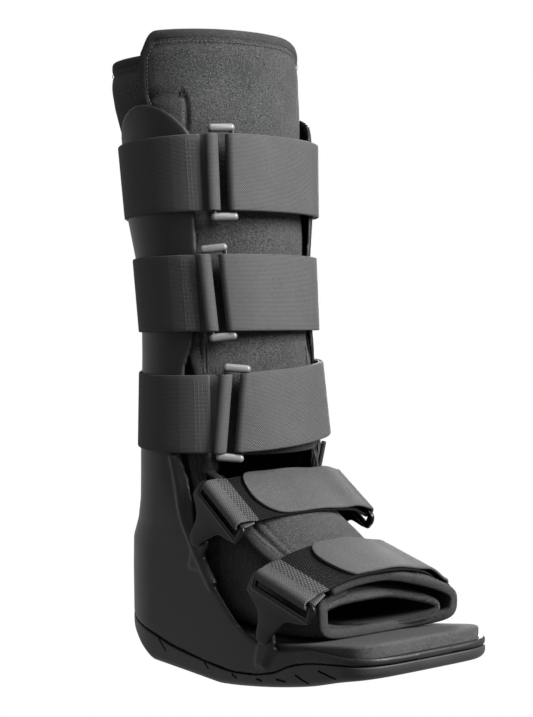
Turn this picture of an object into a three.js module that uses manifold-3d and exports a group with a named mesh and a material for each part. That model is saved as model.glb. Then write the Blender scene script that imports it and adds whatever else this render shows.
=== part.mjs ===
// A tall medical walking boot: plastic shell, rubber rocker sole, padded liners, straps, buckles and rings.
// Millimetres. +Z is up, the toe points to -Y, and the buckles are on the -X side, called near here.
// While it is modelled, X = Y = 0 is the axis of the leg. The last lines centre the boot on its box.

import * as THREE from "three";
import { mergeVertices } from "three/addons/utils/BufferGeometryUtils.js";
import Module from "manifold-3d";

const wasm = await Module();
wasm.setup();

// Driving sizes of the shell and the sole
const uprightTop = 381;
const uprightFront = 39.5;
const uprightBack = 44;
const legHalf = 65;
const heelHalf = 52;
const toeHalf = 55.5;
const heelReach = 78.5;
const toeReach = 213;
const toeCurve = 40;
const shellWall = 3;
const soleRise = 14;
const treadRound = 5;
const trayHeight = 27;
const ribRadius = 4.5;
const ribTop = 147;

// Driving sizes of the soft parts
const linerTop = 430;
const linerWall = 6;
const lapGap = 1;
const sleeveWall = 5.5;
const sleeveLapGap = 2.2;
const sleeveHalf = 50;
const sleeveFront = 171;
const sleeveBack = 52;
const insoleThickness = 8;

// Driving sizes of the straps, buckles and rings
const calfStrapWidth = 50.8;
const strapThickness = 1.8;
const instepStrapWidth = 43;
const forefootStrapWidth = 50;
const instepCrown = 6;
const forefootCrown = 15;
const instepTip = -38;
const forefootTip = -34;
const crownRound = 2.6;
const buckleWidth = 17;
const buckleBar = 3;
const buckleDepth = 3.2;
const capHeight = 4;
const buckleSlack = 1.6;
const ringThickness = 2.6;
const ringBar = 3;
const ringSlot = 6.5;
const ringMargin = 5;
const ringStem = 32.5;
const lobeRadius = 6.5;
const lobeShift = 8;

// Clearances between pieces, and the slack of webbing round a bar
const clearance = 0.4;
const slack = 0.5;
const strapLift = 1.4;

// Colours and finishes
const plastic = { color: 0x1c1d1f, roughness: 0.5, metalness: 0 };
const glossPlastic = { color: 0x101112, roughness: 0.2, metalness: 0 };
const capPlastic = { color: 0x6d6f72, roughness: 0.35, metalness: 0 };
const rubber = { color: 0x17181a, roughness: 0.65, metalness: 0 };
const foam = { color: 0x2b2c2e, roughness: 0.95, metalness: 0 };
const paleFoam = { color: 0x55575a, roughness: 0.9, metalness: 0 };
const webbing = { color: 0x3a3b3e, roughness: 0.85, metalness: 0 };

// Plan sections of the shell from the sole up. `at` is a share of uprightTop, and the other lengths are
// shares of the size named in them. `pad` is the front of the leg liner, and `round` the squareness of the
// front. `toe` blends from the plain leg loop (0) to the long foot outline (1).
const section = (at, half, centre, back, front, pad, round, toe) =>
  ({ at, half, centre, back, front, pad, round, toe });
const [leg, heel] = [legHalf, heelReach];
const sections = [
  section(0, 0.96 * heelHalf, 0.18 * heel, 0.98 * heel, -1.7 * leg, -1.7 * leg, 2.2, 1),
  section(0.07, heelHalf, 0.18 * heel, heel, -1.7 * leg, -1.7 * leg, 2.2, 1),
  section(0.16, 1.02 * heelHalf, 0.16 * heel, heel, -1.6 * leg, -1.6 * leg, 2.2, 1),
  section(0.215, 1.03 * heelHalf, 0.14 * heel, 0.99 * heel, -1.5 * leg, -1.5 * leg, 2.2, 1),
  section(0.252, 0.845 * leg, 0.08 * leg, 0.87 * heel, -1.4 * leg, -1.4 * leg, 2.2, 0.45),
  section(0.294, 0.895 * leg, 0, 0.92 * leg, -1.3 * leg, -1.3 * leg, 2.1, 0.15),
  section(0.341, 0.955 * leg, -0.11 * leg, 0.86 * leg, -1.2 * leg, -1.15 * leg, 2, 0),
  section(0.385, leg, -0.19 * leg, 0.815 * leg, -1.14 * leg, -1.06 * leg, 2, 0),
  section(0.55, 0.945 * leg, -0.127 * leg, 0.84 * leg, -1 * leg, -0.95 * leg, 2, 0),
  section(0.596, 0.93 * leg, -0.1 * leg, 0.86 * leg, -0.95 * leg, -0.9 * leg, 2, 0),
  section(0.733, 0.945 * leg, 0, 0.97 * leg, -0.85 * leg, -0.79 * leg, 2.15, 0),
  section(0.803, 0.985 * leg, 0.06 * leg, 1.1 * leg, -0.83 * leg, -0.755 * leg, 2.3, 0),
  section(0.941, 1.005 * leg, 0.14 * leg, 1.24 * leg, -0.775 * leg, -0.71 * leg, 2.45, 0),
  section(1.01, 1.05 * leg, 0.24 * leg, 1.4 * leg, -0.74 * leg, -0.68 * leg, 2.5, 0),
  section(1.05, 1.06 * leg, 0.28 * leg, 1.475 * leg, -0.72 * leg, -0.66 * leg, 2.5, 0),
  section(1.2, 1.06 * leg, 0.28 * leg, 1.475 * leg, -0.71 * leg, -0.65 * leg, 2.5, 0),
];
const toeRound = 4.5;
const backSteps = 8;
const sideSteps = 7;
const toeSteps = 6;

// Side curves of the sole. `along` is a share of toeReach ahead of the leg axis, or of heelReach behind it,
// and `rise` is a share of soleRise.
const ground = [
  { along: -1, rise: 2.2 },
  { along: -0.895, rise: 1.85 },
  { along: -0.751, rise: 1.23 },
  { along: -0.635, rise: 0.83 },
  { along: -0.5, rise: 0.44 },
  { along: -0.356, rise: 0.1 },
  { along: -0.29, rise: 0 },
  { along: 0.16, rise: 0 },
  { along: 0.33, rise: 0.3 },
  { along: 0.52, rise: 0.8 },
  { along: 0.78, rise: 1.35 },
  { along: 1, rise: 1.8 },
];
const seam = [
  { along: -1, rise: 2.72 },
  { along: -0.876, rise: 2.54 },
  { along: -0.756, rise: 2.26 },
  { along: -0.674, rise: 1.9 },
  { along: -0.597, rise: 1.4 },
  { along: -0.472, rise: 0.95 },
  { along: -0.346, rise: 0.78 },
  { along: -0.212, rise: 0.86 },
  { along: -0.067, rise: 1.01 },
  { along: 0.22, rise: 1.41 },
  { along: 0.46, rise: 1.65 },
  { along: 1, rise: 2.2 },
];
// Top of the tray under the insole, as a share of trayHeight
const tray = [
  { along: -1, rise: 1.57 },
  { along: -0.751, rise: 1.26 },
  { along: -0.597, rise: 1.07 },
  { along: -0.462, rise: 1 },
  { along: 0.25, rise: 1 },
  { along: 0.65, rise: 1.12 },
  { along: 1, rise: 1.3 },
];
// Rim of the tray and front edge of the heel wall up to the ribs: shares of toeReach and of ribTop
const rim = [
  { along: -1, rise: 0.29 },
  { along: -0.895, rise: 0.282 },
  { along: -0.751, rise: 0.27 },
  { along: -0.616, rise: 0.236 },
  { along: -0.553, rise: 0.233 },
  { along: -0.472, rise: 0.257 },
  { along: -0.404, rise: 0.303 },
  { along: -0.318, rise: 0.398 },
  { along: -0.255, rise: 0.489 },
  { along: -0.202, rise: 0.59 },
  { along: -0.186, rise: 0.72 },
];
// Grooves in the side of the sole: middle, length and slope of each
const grooves = [
  { along: 0.02, rise: 1.01, length: 14, slope: 36 },
  { along: -0.246, rise: 0.73, length: 8, slope: 32 },
  { along: -0.401, rise: 0.66, length: 6, slope: 15 },
  { along: -0.529, rise: 0.88, length: 6, slope: 0 },
  { along: -0.635, rise: 1.18, length: 10, slope: -3 },
  { along: -0.731, rise: 1.52, length: 13, slope: 14 },
  { along: -0.842, rise: 2.05, length: 16, slope: 7 },
];
const grooveWidth = 1.4;
const grooveDepth = 2;

// Straps round the calf. `at` is a share of uprightTop, and the slopes tilt a strap to the side and back.
const calfStraps = [
  { name: "upper", at: 0.872, sideSlope: 0, backSlope: -0.02, buckleAngle: 61.5, lean: -1.4 },
  { name: "middle", at: 0.6645, sideSlope: 0, backSlope: -0.02, buckleAngle: 52, lean: 0.7 },
  { name: "lower", at: 0.468, sideSlope: 0.07, backSlope: 0, buckleAngle: 55.8, lean: -5.8 },
];
const sewnLead = 15;
const anchorFarEnd = -186;
const frontLowerEnd = 168;
const frontUpperEnd = 205;

// Rings that hold the foot straps: middle of the bar, and the slope of the bar down to the toe
const instepBar = { x: 54, y: -74.3, z: 117.5, slope: 32.7 };
const forefootBar = { x: 55.5, y: -139.2, z: 73.2, slope: 13.6 };
const ringLean = 7;

const rad = THREE.MathUtils.degToRad;
const mix = THREE.MathUtils.lerp;
const ease = THREE.MathUtils.smoothstep;
const v2 = (x, y) => new THREE.Vector2(x, y);
const v3 = (x, y, z) => new THREE.Vector3(x, y, z);
const roundPower = (value, power) => Math.sign(value) * Math.abs(value) ** (2 / power);

// Solids from grids and loops
function solidFrom(points, triangles) {
  const geometry = new THREE.BufferGeometry();
  const numbers = points.flatMap((p) => [p.x, p.y, p.z]);
  geometry.setAttribute("position", new THREE.Float32BufferAttribute(numbers, 3));
  geometry.setIndex(triangles.flat());
  return toManifold(geometry);
}

function toManifold(geometry) {
  geometry.deleteAttribute("normal");
  geometry.deleteAttribute("uv");
  const merged = mergeVertices(geometry, 1e-5);
  const index = Uint32Array.from(merged.index.array);
  const position = merged.attributes.position.array;
  if (signedVolume(position, index) < 0) {
    for (let i = 0; i < index.length; i += 3) {
      [index[i], index[i + 1]] = [index[i + 1], index[i]];
    }
  }
  return new wasm.Manifold(new wasm.Mesh({ numProp: 3, vertProperties: position, triVerts: index }));
}

function signedVolume(position, index) {
  const corner = (i) => new THREE.Vector3().fromArray(position, 3 * index[i]);
  let volume = 0;
  for (let i = 0; i < index.length; i += 3) {
    volume += corner(i).dot(corner(i + 1).cross(corner(i + 2)));
  }
  return volume;
}

function toGeometry(manifold) {
  const mesh = manifold.getMesh();
  const geometry = new THREE.BufferGeometry();
  geometry.setAttribute("position", new THREE.BufferAttribute(mesh.vertProperties, 3));
  geometry.setIndex(new THREE.BufferAttribute(mesh.triVerts, 1));
  return geometry;
}

const quad = (a, b, c, d) => [a, b, c, a, c, d];

// A curved plate between two surfaces, outer(u, v) and inner(u, v), with u and v from 0 to 1
function plate(uSteps, vSteps, outer, inner) {
  const points = [];
  const triangles = [];
  for (const surface of [outer, inner]) {
    for (let i = 0; i <= uSteps; i += 1) {
      for (let j = 0; j <= vSteps; j += 1) {
        points.push(surface(i / uSteps, j / vSteps));
      }
    }
  }
  const sheet = (uSteps + 1) * (vSteps + 1);
  const at = (side, i, j) => side * sheet + i * (vSteps + 1) + j;
  for (let i = 0; i < uSteps; i += 1) {
    for (let j = 0; j < vSteps; j += 1) {
      triangles.push(quad(at(0, i, j), at(0, i + 1, j), at(0, i + 1, j + 1), at(0, i, j + 1)));
      triangles.push(quad(at(1, i, j), at(1, i, j + 1), at(1, i + 1, j + 1), at(1, i + 1, j)));
    }
    triangles.push(quad(at(0, i, 0), at(1, i, 0), at(1, i + 1, 0), at(0, i + 1, 0)));
    triangles.push(quad(at(0, i, vSteps), at(0, i + 1, vSteps), at(1, i + 1, vSteps), at(1, i, vSteps)));
  }
  for (let j = 0; j < vSteps; j += 1) {
    triangles.push(quad(at(0, 0, j), at(0, 0, j + 1), at(1, 0, j + 1), at(1, 0, j)));
    triangles.push(quad(at(0, uSteps, j), at(1, uSteps, j), at(1, uSteps, j + 1), at(0, uSteps, j + 1)));
  }
  return solidFrom(points, triangles);
}

// A stack of half outlines, each mirrored in X, closed by strips across the first and the last
function stack(halves) {
  const last = halves[0].length - 1;
  const ring = 2 * last;
  const points = halves.flatMap((half) => [
    ...half.map((p) => v3(-p.x, p.y, p.z)),
    ...half.slice(1, last).reverse().map((p) => v3(p.x, p.y, p.z)),
  ]);
  const triangles = [];
  for (let level = 0; level < halves.length - 1; level += 1) {
    for (let i = 0; i < ring; i += 1) {
      const next = (i + 1) % ring;
      const low = level * ring;
      triangles.push(quad(low + i, low + next, low + ring + next, low + ring + i));
    }
  }
  for (const [base, flip] of [[0, true], [(halves.length - 1) * ring, false]]) {
    const cap = [[base, base + 1, base + ring - 1], [base + last - 1, base + last, base + last + 1]];
    for (let i = 1; i < last - 1; i += 1) {
      cap.push(quad(base + i, base + i + 1, base + ring - i - 1, base + ring - i));
    }
    triangles.push(...cap.map((list) => (flip ? [...list].reverse() : list)));
  }
  return solidFrom(points, triangles);
}

// A side view shape, drawn in Y and Z, extruded in X from one plane to another
function sideBlock(shape, from, to) {
  const settings = { depth: to - from, bevelEnabled: false, curveSegments: 6 };
  const geometry = new THREE.ExtrudeGeometry(shape, settings);
  geometry.applyMatrix4(new THREE.Matrix4().makeBasis(v3(0, 1, 0), v3(0, 0, 1), v3(1, 0, 0)));
  return toManifold(geometry.translate(from, 0, 0));
}

// Curves
const alongToY = (along) => along * (along < 0 ? toeReach : heelReach);

// A smooth curve through the rows of a side table that never overshoots them
function heightAt(rows, unit, y) {
  const ys = rows.map((row) => alongToY(row.along));
  const zs = rows.map((row) => row.rise * unit);
  if (y <= ys[0]) return zs[0];
  if (y >= ys[ys.length - 1]) return zs[zs.length - 1];
  const i = ys.findIndex((value) => value > y) - 1;
  const slope = (k) => (zs[k + 1] - zs[k]) / (ys[k + 1] - ys[k]);
  const tangent = (k) => {
    if (k === 0 || k === ys.length - 1) return slope(Math.min(k, ys.length - 2));
    const [before, after] = [slope(k - 1), slope(k)];
    return before * after <= 0 ? 0 : (2 * before * after) / (before + after);
  };
  const step = ys[i + 1] - ys[i];
  const t = (y - ys[i]) / step;
  const rest = 1 - t;
  return zs[i] * (1 + 2 * t) * rest ** 2 + zs[i + 1] * t ** 2 * (3 - 2 * t)
    + step * t * rest * (tangent(i) * rest - tangent(i + 1) * t);
}

const groundAt = (y) => heightAt(ground, soleRise, y);
const seamAt = (y) => heightAt(seam, soleRise, y);
const trayAt = (y) => heightAt(tray, trayHeight, y);
const insoleTopAt = (y) => trayAt(y) + clearance + insoleThickness;

function sectionAt(z) {
  const share = THREE.MathUtils.clamp(z / uprightTop, 0, sections.at(-1).at - 1e-6);
  const i = sections.findIndex((row) => row.at > share) - 1;
  const [low, high] = [sections[i], sections[i + 1]];
  const t = (share - low.at) / (high.at - low.at);
  return Object.fromEntries(Object.keys(low).map((key) => [key, mix(low[key], high[key], t)]));
}

// A point of the leg loop. The angle runs from the near side (0) to the front (90) and the far side (180).
function legPoint(angle, z, inset = 0) {
  const { half, centre, back, front, round } = sectionAt(z);
  return loopPoint(angle, z, half - inset, centre, back - inset, front + inset, round);
}

function loopPoint(angle, z, half, centre, back, front, round) {
  const [across, ahead] = [Math.cos(rad(angle)), Math.sin(rad(angle))];
  const power = ahead > 0 ? round : 2;
  const reach = ahead > 0 ? centre - front : back - centre;
  return v3(-half * roundPower(across, power), centre - reach * roundPower(ahead, power), z);
}

// Half of the shell's plan outline at a height, from the back to the front
function halfOutline(z, inset = 0) {
  const { half, centre, toe } = sectionAt(z);
  const points = [];
  for (let i = 0; i < backSteps; i += 1) {
    points.push(legPoint(mix(-90, 0, i / backSteps), z, inset));
  }
  const toeCentre = toeCurve - toeReach;
  for (let i = 0; i <= sideSteps + toeSteps; i += 1) {
    const onLeg = legPoint(90 * (i / (sideSteps + toeSteps)), z, inset);
    const onSide = Math.min(i / sideSteps, 1);
    const turn = rad(90 * Math.max((i - sideSteps) / toeSteps, 0));
    const wide = mix(half, toeHalf, ease(onSide, 0, 1)) - inset;
    const footX = -wide * roundPower(Math.cos(turn), toeRound);
    const footY = mix(centre, toeCentre, onSide) - (toeCurve - inset) * roundPower(Math.sin(turn), toeRound);
    points.push(v3(mix(onLeg.x, footX, toe), mix(onLeg.y, footY, toe), z));
  }
  points.forEach((p) => {
    p.x = Math.abs(p.x) < 1e-6 ? 0 : -p.x;
  });
  return points;
}

// How far the shell's outline is from the middle plane at a place in plan
function sideX(y, z, inset = 0) {
  const points = halfOutline(z, inset);
  const i = points.findIndex((p) => p.y < y);
  return mix(points[i - 1].x, points[i].x, (points[i - 1].y - y) / (points[i - 1].y - points[i].y));
}

const heightened = (half, height) => half.map((p) => v3(p.x, p.y, height(p.y)));

// The plans of the sole and of the insole. The side views use their Y values, so that the faces match.
const plan = 0.07 * uprightTop;
const insolePlan = halfOutline(plan, shellWall + clearance);

// The rubber sole
function makeOutsole() {
  const body = stack([
    heightened(halfOutline(plan, treadRound), groundAt),
    heightened(halfOutline(plan, 0.3 * treadRound), (y) => groundAt(y) + 0.25 * treadRound),
    heightened(halfOutline(plan), (y) => Math.min(groundAt(y) + treadRound, seamAt(y) - 2 * clearance)),
    heightened(halfOutline(plan), (y) => seamAt(y) - clearance),
  ]);
  const cuts = grooves.flatMap(({ along, rise, length, slope }) => [-1, 1].map((side) => {
    const [y, z] = [alongToY(along), rise * soleRise];
    const cutter = new THREE.BoxGeometry(2 * grooveDepth, length, grooveWidth);
    cutter.rotateX(rad(slope)).translate(side * sideX(y, plan), y, z);
    return toManifold(cutter);
  }));
  return cuts.reduce((sole, cut) => sole.subtract(cut), body);
}

// The foam footbed in the tray
function makeInsole() {
  return stack([heightened(insolePlan, (y) => trayAt(y) + clearance), heightened(insolePlan, insoleTopAt)]);
}

// The side view of the shell: sole seam, tray rim, front edge, round top and rear edge
function shellProfile() {
  const shape = new THREE.Shape();
  const margin = 5;
  const archRise = 0.093 * uprightTop;
  const archStart = uprightTop - archRise;
  const archMiddle = (uprightBack - uprightFront) / 2;
  const archHalf = (uprightBack + uprightFront) / 2;
  shape.moveTo(heelReach + margin, seamAt(heelReach));
  halfOutline(plan).forEach(({ y }) => shape.lineTo(y, seamAt(y)));
  shape.lineTo(-toeReach - margin, seamAt(-toeReach));
  shape.lineTo(-toeReach - margin, rim[0].rise * ribTop);
  shape.splineThru(rim.map(({ along, rise }) => v2(along * toeReach, rise * ribTop)));
  shape.lineTo(-0.95 * uprightFront, ribTop);
  shape.splineThru([
    v2(-0.9 * uprightFront, 0.53 * uprightTop),
    v2(-0.99 * uprightFront, 0.585 * uprightTop),
    v2(-uprightFront, 0.75 * uprightTop),
    v2(-uprightFront, archStart),
  ]);
  shape.absellipse(archMiddle, archStart, archHalf, archRise, Math.PI, 0, true);
  shape.splineThru([
    v2(uprightBack, 0.6 * uprightTop),
    v2(1.08 * uprightBack, 0.47 * uprightTop),
    v2(1.3 * uprightBack, 0.37 * uprightTop),
    v2(heelReach + margin, 0.275 * uprightTop),
  ]);
  return shape;
}

// The space above the tray, in side view
function cavityProfile() {
  const shape = new THREE.Shape();
  const [backEnd, frontEnd] = [2 * heelReach, -1.5 * toeReach];
  shape.moveTo(backEnd, 1.2 * uprightTop);
  shape.lineTo(backEnd, trayAt(heelReach));
  insolePlan.forEach(({ y }) => shape.lineTo(y, trayAt(y)));
  shape.lineTo(frontEnd, trayAt(-toeReach));
  shape.lineTo(frontEnd, 1.2 * uprightTop);
  return shape;
}

// The rounded rib down the front edge of each side, from just under the lower strap to the tray
function makeRib(side) {
  const rows = [
    { y: -0.95 * uprightFront, at: 1 },
    { y: -0.97 * uprightFront, at: 0.86 },
    { y: -uprightFront, at: 0.72 },
    { y: -0.21 * toeReach, at: 0.6 },
    { y: -0.265 * toeReach, at: 0.5 },
    { y: -0.31 * toeReach, at: 0.43 },
  ];
  const path = new THREE.CatmullRomCurve3(rows.map(({ y, at }) => {
    const z = at * ribTop;
    return v3(side * sideX(y + ribRadius, z, shellWall / 2), y + ribRadius, z);
  }));
  const circle = new THREE.Shape().absarc(0, 0, ribRadius, 0, 2 * Math.PI);
  return toManifold(new THREE.ExtrudeGeometry(circle, { steps: 8, extrudePath: path, curveSegments: 5 }));
}

// The small fin of the shell that stands behind the lobe of a ring
function makeLug(side, bar) {
  const lobe = ringPoint(bar, -lobeShift, ringStem);
  const shape = new THREE.Shape();
  const [high, wide, foot] = [0.8 * lobeRadius, 1.1 * lobeRadius, 3.4 * lobeRadius];
  shape.moveTo(lobe.y + wide, lobe.z + high);
  shape.lineTo(lobe.y - 0.7 * wide, lobe.z + 0.3 * high);
  shape.lineTo(lobe.y - 0.9 * wide, lobe.z - high);
  shape.lineTo(lobe.y + 0.6 * wide, lobe.z - foot);
  shape.lineTo(lobe.y + 2 * wide, lobe.z - foot);
  const lobeX = bar.x + Math.tan(rad(ringLean)) * (ringStem - lobeRadius);
  const outside = lobeX - ringThickness / 2;
  const inside = outside - 1.3 * shellWall;
  return side < 0 ? sideBlock(shape, -outside, -inside) : sideBlock(shape, inside, outside);
}

function makeShell() {
  const heights = sections.filter(({ at }) => at < 1.02).map(({ at }) => at * uprightTop);
  const inside = stack(heights.map((z) => halfOutline(z, shellWall)));
  const wide = 2 * legHalf;
  const body = stack(heights.map((z) => halfOutline(z))).intersect(sideBlock(shellProfile(), -wide, wide));
  const cavity = inside.intersect(sideBlock(cavityProfile(), -wide, wide));
  const extras = [-1, 1].flatMap((side) => [
    makeRib(side),
    makeLug(side, instepBar),
    makeLug(side, forefootBar),
  ]);
  return extras.reduce((shell, extra) => shell.add(extra), body).subtract(cavity);
}

// The padded wrap of the leg and heel. Its inner end starts under the flap on the near side, and the wrap
// runs round the back, the far side and the front to the flap's bound edge. Below the lower strap its front
// is cut away.
const linerFront = 47;
const linerOpenTop = 0.385 * uprightTop;

function makeLegLiner() {
  const fit = shellWall + 2 * clearance;
  const start = 66;
  const end = (z) => mix(54, 13, ease(z, 0.35 * linerTop, 0.93 * linerTop)) - 360;
  const bottom = (angle) => insoleTopAt(legPoint(angle, plan, fit).y) + clearance;
  const top = (angle) => {
    const onFlap = ease(-angle, 185, 235);
    const tilt = 0.03 * ease(-angle, 185, 290);
    const corner = 0.05 * ease(-angle, 318, 347) ** 3;
    return linerTop * (0.968 + 0.002 * onFlap + tilt - corner);
  };
  const rows = sections.filter(({ at }) => at > 0.1 && at < 1.1).map(({ at }) => at * uprightTop);
  const last = rows.length + 1;
  const height = (angle, row) => {
    if (row === 0) return bottom(angle);
    return row === last ? top(angle) : rows[row - 1];
  };
  const surface = (depth) => (u, v) => {
    const row = Math.round(v * last);
    const angle = mix(start, end(rows[Math.min(row, last - 1) - 1] ?? 0), u);
    const z = height(angle, row);
    const { half, centre, back, pad } = sectionAt(z);
    const inset = depth + (linerWall + lapGap) * ease(angle, -35, 5) * ease(z, 0.6 * ribTop, ribTop);
    return loopPoint(angle, z, half - fit - inset, centre, back - fit - inset, pad + fit + inset, 2);
  };
  const window = new THREE.Shape();
  window.moveTo(-linerFront, -1);
  window.lineTo(-linerFront, linerOpenTop);
  window.lineTo(-2 * legHalf, linerOpenTop);
  window.lineTo(-2 * legHalf, -1);
  const opening = sideBlock(window, -2 * legHalf, 2 * legHalf);
  return plate(36, last, surface(0), surface(linerWall)).subtract(opening);
}

// The padded sleeve of the foot. Its section starts under the top flap, runs down the near side, under the
// foot and up the far side, and ends as the flap that laps over the near side.
const sleeveTopRound = 2.1;
const sleeveBottomRound = 4;
const sleeveFlare = 14;
const sleeveFlareHalf = 3.5;

// Height of the sleeve's top: it seats under the two foot straps and flares up behind the instep strap
function sleeveTop(y) {
  const under = (bar, across, crown) => ringPoint(bar, across, strapThickness / 2 + strapLift - crown);
  const rows = [
    under(instepBar, -instepStrapWidth / 2, instepCrown),
    under(instepBar, instepStrapWidth / 2, instepCrown),
    under(forefootBar, -forefootStrapWidth / 2, forefootCrown),
    under(forefootBar, forefootStrapWidth / 2, forefootCrown),
  ];
  rows.unshift(v3(0, -sleeveBack, rows[0].z + sleeveFlare));
  const i = THREE.MathUtils.clamp(rows.findIndex((row) => row.y < y) - 1, 0, rows.length - 2);
  const segment = y < rows.at(-1).y ? rows.length - 2 : i;
  const [before, after] = [rows[segment], rows[segment + 1]];
  return mix(before.z, after.z, (before.y - y) / (before.y - after.y));
}

function makeFootLiner() {
  const lap = sleeveWall + sleeveLapGap;
  const [start, end] = [60, -318];
  const surface = (depth) => (u, v) => {
    const angle = mix(start, end, u);
    const fromTop = Math.abs(((angle + 450) % 360) - 180);
    const notch = 1 - ease(fromTop, 18, 50);
    const y = -mix(sleeveBack * (1 + 0.5 * notch), sleeveFront, v);
    const bottom = insoleTopAt(y) + clearance;
    const top = sleeveTop(y);
    const inset = depth + lap * ease(angle, -70, 0);
    const half = Math.min(sleeveHalf + sleeveFlareHalf * ease(-y, 0.88 * sleeveFront, sleeveFront),
      sideX(y, 0.2 * uprightTop, shellWall + clearance));
    const [across, up] = [Math.cos(rad(angle)), Math.sin(rad(angle))];
    const power = up > 0 ? sleeveTopRound : sleeveBottomRound;
    const rise = (top - bottom) / 2 - (up > 0 ? inset : depth);
    const z = (bottom + top) / 2 + rise * roundPower(up, power);
    return v3(-(half - inset) * roundPower(across, power), y, z);
  };
  return plate(32, 8, surface(0), surface(sleeveWall));
}

// A strip of webbing. The paths are its middle line at one edge and at the other, `place` puts a point of
// them in space, and `narrow` gives the share of the full width at each step.
function ribbon(paths, place, narrow = () => 1) {
  const steps = paths[0].length - 1;
  const offsets = paths.map((path) => path.map((point, i) => {
    const run = path[Math.min(i + 1, steps)].clone().sub(path[Math.max(i - 1, 0)]).normalize();
    return v2(run.y, -run.x);
  }));
  const surface = (side) => (u, v) => {
    const i = Math.round(u * steps);
    const edge = Math.round(v);
    const point = paths[edge][i].clone().addScaledVector(offsets[edge][i], side * strapThickness / 2);
    return place(point, 0.5 + (v - 0.5) * narrow(i / steps));
  };
  return plate(steps, 1, surface(1), surface(-1));
}

const arc = (centre, radius, from, to, steps) => Array.from({ length: steps + 1 }, (_, i) => {
  const angle = rad(mix(from, to, i / steps));
  return v2(centre.x + radius * Math.cos(angle), centre.y + radius * Math.sin(angle));
});

// Straps round the calf
const layerOffset = clearance + strapThickness / 2;
const outerOffset = layerOffset + strapThickness + clearance;
const wrapRadius = Math.hypot(buckleBar, buckleDepth) / 2 + slack + strapThickness / 2;
const buckleOffset = layerOffset + wrapRadius;
const barOffset = (buckleWidth - buckleBar) / 2;

const strapHeight = (strap, v) => strap.at * uprightTop + (v - 0.5) * calfStrapWidth;
const sloped = (strap, p) => v3(p.x, p.y, p.z + strap.sideSlope * p.x + strap.backSlope * p.y);
const calfPlace = (strap) => (p, v) => sloped(strap, v3(p.x, p.y, strapHeight(strap, v)));

function calfPath(strap, v, from, to, lift, steps) {
  return Array.from({ length: steps + 1 }, (_, i) => {
    const flat = legPoint(mix(from, to, i / steps), strapHeight(strap, v), -lift(i / steps));
    const settled = legPoint(mix(from, to, i / steps), sloped(strap, flat).z, -lift(i / steps));
    return v2(settled.x, settled.y);
  });
}

// The middle of a buckle in plan at one edge of its strap, and the directions along the strap and outward
function buckleFrame(strap, v) {
  const at = (angle, height) => calfPath(strap, height, angle, angle, () => buckleOffset, 1)[0];
  const middle = at(strap.buckleAngle + strap.lean * (0.5 - v), v);
  const along = at(strap.buckleAngle + 2, 0.5).sub(at(strap.buckleAngle - 2, 0.5)).normalize();
  return { middle, along, outward: v2(along.y, -along.x) };
}

const inFrame = ({ middle, along, outward }, x, y) =>
  middle.clone().addScaledVector(along, x).addScaledVector(outward, y);

// The webbing from the far side round the back to its sewn end, and the sewn loop round the buckle
function makeStrapAnchor(strap) {
  const cut = strap.buckleAngle - 180 * sewnLead / (Math.PI * legHalf);
  const bandLift = (share) => layerOffset + 0.9 * strapThickness * ease(share, 0.9, 0.97);
  const band = [0, 1].map((v) => calfPath(strap, v, anchorFarEnd, cut, bandLift, 40));
  const loop = [0, 1].map((v) => {
    const frame = buckleFrame(strap, v);
    const start = calfPath(strap, v, cut - 4, cut + 3, () => layerOffset, 2);
    const wrap = arc(v2(-barOffset, 0), wrapRadius, -90, 150, 9);
    return [...start, ...wrap.map((p) => inFrame(frame, p.x, p.y))];
  });
  return ribbon(band, calfPlace(strap)).add(ribbon(loop, calfPlace(strap)));
}

// The webbing that comes along the liner, goes up through the buckle and folds back to the far side
function makeStrapFront(strap) {
  const bar = strap.buckleAngle + 180 * (barOffset + wrapRadius) / (Math.PI * legHalf);
  const paths = [0, 1].map((v) => {
    const frame = buckleFrame(strap, v);
    const under = calfPath(strap, v, frontLowerEnd, bar, () => layerOffset, 16);
    const wrap = arc(v2(barOffset, 0), wrapRadius, -90, -270, 8).map((p) => inFrame(frame, p.x, p.y));
    const lift = (share) => mix(layerOffset + 2 * wrapRadius, outerOffset, ease(share, 0, 0.4));
    return [...under, ...wrap, ...calfPath(strap, v, bar, frontUpperEnd, lift, 20)];
  });
  return ribbon(paths, calfPlace(strap));
}

function makeBuckle(strap) {
  const [low, high] = [0, 1].map((v) => {
    const { middle } = buckleFrame(strap, v);
    return calfPlace(strap)(middle, v);
  });
  const { along } = buckleFrame(strap, 0.5);
  const up = high.clone().sub(low).normalize();
  const out = v3(along.x, along.y, 0).cross(up).normalize();
  const across = up.clone().cross(out);
  const halfHeight = calfStrapWidth / 2 + buckleSlack + capHeight;
  const corner = 0.8 * capHeight;
  const shape = roundedRectangle(buckleWidth / 2, halfHeight, corner);
  shape.holes.push(roundedRectangle(buckleWidth / 2 - buckleBar, halfHeight - capHeight, 0.5));
  const settings = { depth: buckleDepth, bevelEnabled: false, curveSegments: 2 };
  const geometry = new THREE.ExtrudeGeometry(shape, settings);
  geometry.translate(0, 0, -buckleDepth / 2);
  geometry.applyMatrix4(new THREE.Matrix4().makeBasis(across, up, out).setPosition(low.lerp(high, 0.5)));
  return toManifold(geometry);
}

function roundedRectangle(halfWidth, halfHeight, radius) {
  const shape = new THREE.Shape();
  const [x, y] = [halfWidth - radius, halfHeight - radius];
  shape.absarc(x, y, radius, 0, Math.PI / 2);
  shape.absarc(-x, y, radius, Math.PI / 2, Math.PI);
  shape.absarc(-x, -y, radius, Math.PI, 1.5 * Math.PI);
  shape.absarc(x, -y, radius, 1.5 * Math.PI, 2 * Math.PI);
  return shape;
}

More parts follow.
